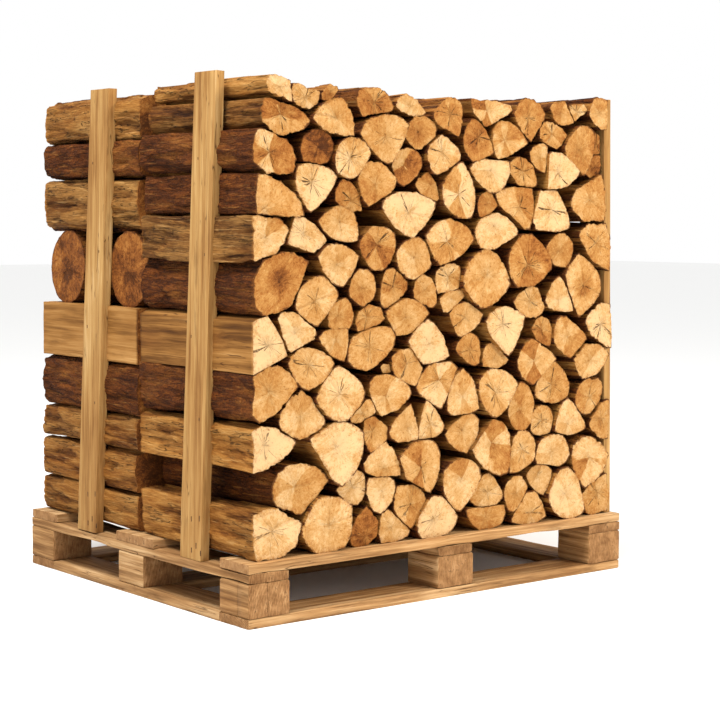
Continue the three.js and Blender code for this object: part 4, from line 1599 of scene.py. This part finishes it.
@dataclass
class LogStack:
    """Both tiers of logs."""

    finishes: Finishes
    barked_nodes: tuple[str, ...] = (
        "log_front_left_02", "log_front_left_04", "log_front_left_06", "log_front_left_08", "log_front_left_09",
        "log_front_left_10", "log_back_left_01", "log_back_left_03", "log_back_left_04", "log_back_left_07",
        "log_back_left_08",
    )
    gap: float = 1.6 * MM
    growth: float = 7 * MM
    least_area: float = 0.0008

    def __post_init__(self) -> None:
        """Read how high each course reaches."""
        self.course_tops = {f"course_{i:02d}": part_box(f"course_{i:02d}")[1][2] for i in range(1, 12)}
        self.makers: dict[str, LogMaker] = {}
        self.draw = random.Random(12)

    def build(self) -> None:
        """Build every log of both tiers and the crosswise rounds."""
        self._front_tier()
        self._back_tier()
        self._cross_logs()
        for name, maker in self.makers.items():
            maker.finish(name, self._slot_of(name))

    def _slot_of(self, name: str) -> str:
        """Return the finish's slot of a node."""
        if name.startswith("course"):
            return "stacked_logs"
        return "barked_log" if name in self.barked_nodes or "cross" in name else "split_wood"

    def _course_of(self, height: float) -> str:
        """Return the course that a height lies in."""
        return next((name for name, top in self.course_tops.items() if height < top), "course_11")

    def _back_left(self) -> list[Split]:
        """Return the back tier's left-hand logs, from the frame's boxes."""
        plan = []
        for index, look in enumerate(BACK_LEFT_LOOKS, start=1):
            node = f"log_back_left_{index:02d}"
            (x0, _, z0), (x1, _, z1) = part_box(node)
            w, h = x1 - x0, z1 - z0
            shape = BEAM_SHAPE if look["skin"] is Skin.SAWN else ODD_SHAPE if index % 2 else EVEN_SHAPE
            points = [(x0 + u * w, z0 + v * h) for u, v in shape]
            pith = (x0 + 0.55 * w, z0 + 0.5 * h)
            plan.append(Split(set_back=6 * MM, pith=pith, outline=points, node=node, **look))
        return plan

    def _front_tier(self) -> None:
        """Build the front tier from its plan."""
        for plan in FRONT_PLAN:
            growth = self.growth * (1.3 if plan.node else 1.0)
            plan.outline = swollen(plan.outline, growth, LEFT_FACE, DECK_TOP)
        part_neighbours(FRONT_PLAN, self.gap)
        for number, plan in enumerate(FRONT_PLAN):
            start = FRONT_END_PLANE + plan.set_back
            stop = FRONT_TIER_BACK - self.draw.uniform(0.0, 0.012)
            self._place(plan, start, stop, number * 0.731 + 1.0)

    def _back_tier(self) -> None:
        """Build the back tier: its left-hand logs, and others packed beside them."""
        fixed = self._back_left()
        (_, _, z0), (x1, _, z1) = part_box("log_cross_front")
        packer = TierPacker(
            left=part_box("log_back_left_01")[1][0] + self.gap,
            right=RIGHT_FACE - 25 * MM,
            bottom=DECK_TOP + 1 * MM,
            top=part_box("course_11")[1][2] - 6 * MM,
            held_back=(x1 + 2 * MM, z0 - 1 * MM, z1 - 3 * MM),
        )
        for plan in fixed:
            plan.outline = swollen(plan.outline, self.growth * 1.4, LEFT_FACE, DECK_TOP)
        back = fixed + packer.fill()
        part_neighbours(back, self.gap)
        back = [plan for plan in back if len(plan.outline) > 2 and area_of(plan.outline) > self.least_area]
        for number, plan in enumerate(back):
            start = BACK_TIER_FRONT + self.draw.uniform(0.0, 0.012)
            stop = BACK_END_PLANE - plan.set_back
            self._place(plan, start, stop, number * 0.617 + 200.0)

    def _place(self, plan: Split, start: float, stop: float, seed: float) -> None:
        """Build one log into the piece that it belongs to."""
        low_x = min(x for x, _ in plan.outline)
        high_x = max(x for x, _ in plan.outline)
        high_z = max(z for _, z in plan.outline)
        name = plan.node or self._course_of(middle(plan.outline)[1])
        in_sight = bool(plan.node) or low_x < -0.5 or high_x > 0.535 or high_z > 1.165
        if name not in self.makers:
            self.makers[name] = LogMaker(self.finishes, "piece_" + name)
        self.makers[name].add(plan, start, stop, seed, in_sight)

    def _cross_logs(self) -> None:
        """Build the rounds and the half that lie crosswise."""
        for index, (node, look) in enumerate(CROSS_LOOKS.items()):
            (x0, y0, z0), (x1, y1, z1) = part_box(node)
            cy, cz = (y0 + y1) / 2, (z0 + z1) / 2
            ry, rz = (y1 - y0) / 2, (z1 - z0) / 2
            turns = [TAU * k / CROSS_CORNERS for k in range(CROSS_CORNERS)]
            shape = [(cy + ry * math.cos(turn), cz + rz * math.sin(turn)) for turn in turns]
            if node.endswith("middle"):
                shape = [(y, z) for y, z in shape if z < cz + rz * 0.5]
            pith = (cy + 4 * MM, cz - 6 * MM)
            plan = Split(set_back=0.0, pith=pith, outline=shape, two_tone=0.12, rough=0.45, **look)
            self.makers[node] = LogMaker(self.finishes, "piece_" + node)
            self.makers[node].add(plan, x0 + 3 * MM, x1 - 2 * MM, 300.0 + index * 3.3, True, Lay.SIDE_TO_SIDE)


# --------------------------------------------------------- pallet and uprights


class Timber(Enum):
    """Kinds of sawn timber in the pallet and the uprights."""

    BOARD = "board"
    BLOCK = "block"
    POST = "post"


@dataclass
class SawnPiece:
    """One board, block or upright, made from its own solid in the frame."""

    node: str
    kind: Timber
    axis: int
    tone: float
    seed: float
    wear: float = 1.0
    cracks: tuple[tuple[Vector, Vector], ...] = ()
    nails: tuple[tuple[float, float, float], ...] = ()

    def _solid(self) -> bmesh.types.BMesh:
        """Return the node's solid with its faces joined and its arrises worn."""
        bm = bmesh.new()
        bm.from_mesh(bpy.data.objects[self.node].data)
        bmesh.ops.remove_doubles(bm, verts=bm.verts[:], dist=1e-5)
        bmesh.ops.dissolve_limit(bm, angle_limit=math.radians(1.0), verts=bm.verts[:], edges=bm.edges[:])
        bevel = {Timber.BOARD: 2.2 * MM, Timber.BLOCK: 3.0 * MM, Timber.POST: 1.2 * MM}[self.kind]
        bmesh.ops.bevel(
            bm,
            geom=bm.edges[:],
            offset=bevel * self.wear,
            segments=2,
            profile=0.6,
            material=-1,
            affect="EDGES",
            clamp_overlap=True,
        )
        return bm

    def _cut_up(self, bm: bmesh.types.BMesh) -> None:
        """Slice the solid across its three axes so that it can be worn and warped."""
        low = [min(v.co[i] for v in bm.verts) for i in range(3)]
        high = [max(v.co[i] for v in bm.verts) for i in range(3)]
        for i in range(3):
            pitch = LONG_PITCH if i == self.axis else CROSS_PITCH
            count = max(1, int((high[i] - low[i]) / pitch))
            normal = Vector((0, 0, 0))
            normal[i] = 1.0
            for k in range(1, count):
                at = Vector((0, 0, 0))
                at[i] = low[i] + (high[i] - low[i]) * k / count
                self._slice(bm, at, normal)
        for at, normal in self.cracks:
            for shift in (-CRACK_HALF, 0.0, CRACK_HALF):
                self._slice(bm, at + normal * shift, normal)

    @staticmethod
    def _slice(bm: bmesh.types.BMesh, at: Vector, normal: Vector) -> None:
        """Cut the mesh's faces along a plane."""
        geom = [*bm.verts, *bm.edges, *bm.faces]
        bmesh.ops.bisect_plane(bm, geom=geom, dist=1e-5, plane_co=at, plane_no=normal)

    def build(self, finishes: Finishes) -> None:
        """Build and dress the piece with the shared materials."""
        bm = self._solid()
        self._cut_up(bm)
        layers = bm.verts.layers.float_vector
        grain, trait = layers.new("grain"), layers.new("trait")
        low = Vector([min(v.co[i] for v in bm.verts) for i in range(3)])
        high = Vector([max(v.co[i] for v in bm.verts) for i in range(3)])
        centre = (low + high) / 2
        others = [i for i in range(3) if i != self.axis]
        rough = {Timber.BOARD: 1.0, Timber.BLOCK: 1.0, Timber.POST: 0.35}[self.kind] * self.wear
        bm.normal_update()
        for face in bm.faces:
            face.smooth = True
            face.material_index = 1 if abs(face.normal[self.axis]) > 0.7 else 0
        for edge in bm.edges:
            if len(edge.link_faces) == 2 and edge.calc_face_angle(0.0) > 0.9:
                edge.smooth = False
        normals = {v: v.normal.copy() for v in bm.verts}
        for v in bm.verts:
            co = v.co.copy()
            local = co - centre
            v[grain] = (local[others[0]], local[others[1]], local[self.axis])
            v[trait] = (self.tone, self.seed, 0.5)
            across, up, along = local[others[0]], local[others[1]], local[self.axis]
            stretched = Vector((across * 30, up * 30, along * 4 + self.seed * 7))
            fine = Vector((across * 130, up * 130, along * 9 + self.seed))
            push = noise.noise(stretched) * 0.9 * MM + noise.noise(fine) * 0.35 * MM
            # arrises that lost wood here and there
            near_edge = sum(1 for i in others if min(co[i] - low[i], high[i] - co[i]) < 3 * MM)
            if near_edge >= 2:
                push -= max(0.0, noise.noise(Vector((local[self.axis] * 11, self.seed * 3, 0.5)))) * 5 * MM
            inward = normals[v] * min(push, 0.25 * MM) * rough
            for at, normal in self.cracks:
                if abs((co - at).dot(normal)) < 0.1 * MM:
                    inward -= Vector([n if abs(n) > 0.5 else 0.0 for n in normals[v]]) * 6 * MM
            v.co = co + inward
        mesh = bpy.data.meshes.new("piece_" + self.node)
        if self.nails:
            self._add_nails(bm, low, high)
        bm.to_mesh(mesh)
        bm.free()
        piece = bpy.data.objects.new("piece_" + self.node, mesh)
        bpy.context.scene.collection.objects.link(piece)
        is_post = self.kind is Timber.POST
        for material in (finishes.post if is_post else finishes.pallet, finishes.pallet_end, finishes.iron):
            mesh.materials.append(material)
        place_piece(piece, self.node)

    def _add_nails(self, bm: bmesh.types.BMesh, low: Vector, high: Vector) -> None:
        """Set nail heads into the outer face.

        Args:
            bm: The upright's mesh.
            low: Its lowest corner.
            high: Its highest corner.
        """
        outward = -1.0 if low.x < 0 else 1.0
        faces = [f for f in bm.faces if f.normal.x * outward > 0.9]
        for across, up, long in self.nails:
            want = Vector((0, low.y + across * (high.y - low.y), low.z + up))
            nearest = min(faces, key=lambda f: (f.calc_center_median().yz - want.yz).length)
            place = (nearest.calc_center_median().x, want.y, want.z)
            made = bmesh.ops.create_cube(bm, size=1.0)["verts"]
            bmesh.ops.scale(bm, vec=(1.2 * MM, 2.4 * MM, long), verts=made)
            bmesh.ops.translate(bm, vec=place, verts=made)
            for face in {f for v in made for f in v.link_faces}:
                face.material_index = 2


@dataclass
class Pallet:
    """Deck boards, stringers, blocks and base boards."""

    finishes: Finishes

    def build(self) -> None:
        """Build every board and block."""
        seed = 3.0
        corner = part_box("block_front_left")
        crack_front = (Vector((corner[0][0] + 0.053, 0, 0)), Vector((1, 0, 0)))
        crack_side = (Vector((0, corner[0][1] + 0.044, 0)), Vector((0, 1, 0)))
        for side in ("front", "back", "left", "right", "middle"):
            lo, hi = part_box("base_board_" + side)
            axis = 0 if hi[0] - lo[0] > hi[1] - lo[1] else 1
            SawnPiece("base_board_" + side, Timber.BOARD, axis, 0.4, seed, 1.6).build(self.finishes)
            seed += 1.7
        for row in ("front", "middle", "back"):
            for column in ("left", "middle", "right"):
                node = f"block_{row}_{column}"
                cracks = (crack_front, crack_side) if node == "block_front_left" else ()
                SawnPiece(node, Timber.BLOCK, 1, 0.35, seed, 1.2, cracks).build(self.finishes)
                seed += 1.3
        for column in ("left", "middle", "right"):
            SawnPiece("stringer_" + column, Timber.BOARD, 1, 0.5, seed, 1.2).build(self.finishes)
            seed += 1.1
        for row in ("front", "middle", "back"):
            SawnPiece("deck_board_" + row, Timber.BOARD, 0, 0.15, seed, 1.0).build(self.finishes)
            seed += 1.9


@dataclass
class Uprights:
    """The four boards that hold the stack's ends."""

    finishes: Finishes
    nails: tuple[tuple[float, float, float], ...] = (
        (0.3, 0.02, 0.012), (0.45, 0.035, 0.014), (0.6, 0.022, 0.012), (0.35, 0.1, 0.013), (0.62, 0.095, 0.012),
        (0.4, 0.33, 0.007), (0.7, 0.52, 0.007), (0.3, 0.71, 0.006), (0.55, 0.93, 0.006),
    )

    def build(self) -> None:
        """Build the four uprights."""
        tones = {"left_front": 0.1, "left_back": 0.22, "right_front": 0.12, "right_back": 0.2}
        for number, (place, tone) in enumerate(tones.items()):
            post = SawnPiece("post_" + place, Timber.POST, 2, tone, 31.0 + number * 2.3, nails=self.nails)
            post.build(self.finishes)


# ------------------------------------------------------------------ the studio


@dataclass
class Studio:
    """Floor, lights and camera."""

    yaw: float = math.radians(38.74)
    pitch: float = math.radians(-4.39)
    roll: float = math.radians(0.29)
    eye: tuple[float, float, float] = (-2.867, -3.719, 0.909)
    lens: float = 89.24

    def camera(self) -> None:
        """Create the camera."""
        level = math.cos(self.pitch)
        forward = Vector((math.sin(self.yaw) * level, math.cos(self.yaw) * level, math.sin(self.pitch)))
        right = Vector((math.cos(self.yaw), -math.sin(self.yaw), 0.0))
        up = right.cross(forward)
        side = right * math.cos(self.roll) + up * math.sin(self.roll)
        over = up * math.cos(self.roll) - right * math.sin(self.roll)
        data = bpy.data.cameras.new("camera")
        data.lens = self.lens
        data.sensor_width = 36.0
        data.clip_end = 100.0
        camera = bpy.data.objects.new("camera", data)
        turn = Matrix((side, over, -forward)).transposed().to_4x4()
        camera.matrix_world = Matrix.Translation(self.eye) @ turn
        bpy.context.scene.collection.objects.link(camera)
        bpy.context.scene.camera = camera

    def floor(self) -> None:
        """Lay a pale floor."""
        bm = bmesh.new()
        bmesh.ops.create_grid(bm, x_segments=1, y_segments=1, size=30.0)
        mesh = bpy.data.meshes.new("floor")
        bm.to_mesh(mesh)
        bm.free()
        floor = bpy.data.objects.new("floor", mesh)
        g = Graph("studio_floor")
        mesh.materials.append(g.finish(tint("F4F4F3"), 0.9))
        bpy.context.scene.collection.objects.link(floor)

    def _area(
        self, name: str, size: float, power: float, place: tuple[float, float, float], colour: str
    ) -> None:
        """Add a soft square light that faces the stack's middle."""
        data = bpy.data.lights.new(name, "AREA")
        data.shape = "SQUARE"
        data.size = size
        data.energy = power
        data.color = tint(colour)[:3]
        light = bpy.data.objects.new(name, data)
        light.location = place
        light.rotation_euler = (Vector((0, 0, 0.6)) - Vector(place)).to_track_quat("-Z", "Y").to_euler()
        bpy.context.scene.collection.objects.link(light)

    def lights(self) -> None:
        """Set up the soft studio light."""
        world = bpy.data.worlds.new("studio")
        world.use_nodes = True
        background = world.node_tree.nodes["Background"]
        background.inputs["Color"].default_value = (1.0, 1.0, 1.0, 1.0)
        background.inputs["Strength"].default_value = 1.0
        bpy.context.scene.world = world
        bpy.context.scene.view_settings.view_transform = "Standard"
        self._area("key", 1.3, 215.0, (2.2, -4.2, 3.6), "FFF6E8")
        self._area("top", 1.4, 210.0, (-1.7, -0.9, 4.2), "FFFFFF")


def main() -> None:
    """Build the stack, the pallet, the uprights and the studio."""
    logging.basicConfig(level=logging.INFO, format="%(name)s: %(message)s")
    studio = Studio()
    studio.camera()
    studio.floor()
    studio.lights()
    finishes = Finishes()
    Pallet(finishes).build()
    Uprights(finishes).build()
    LogStack(finishes).build()


if __name__ == "__main__":
    main()
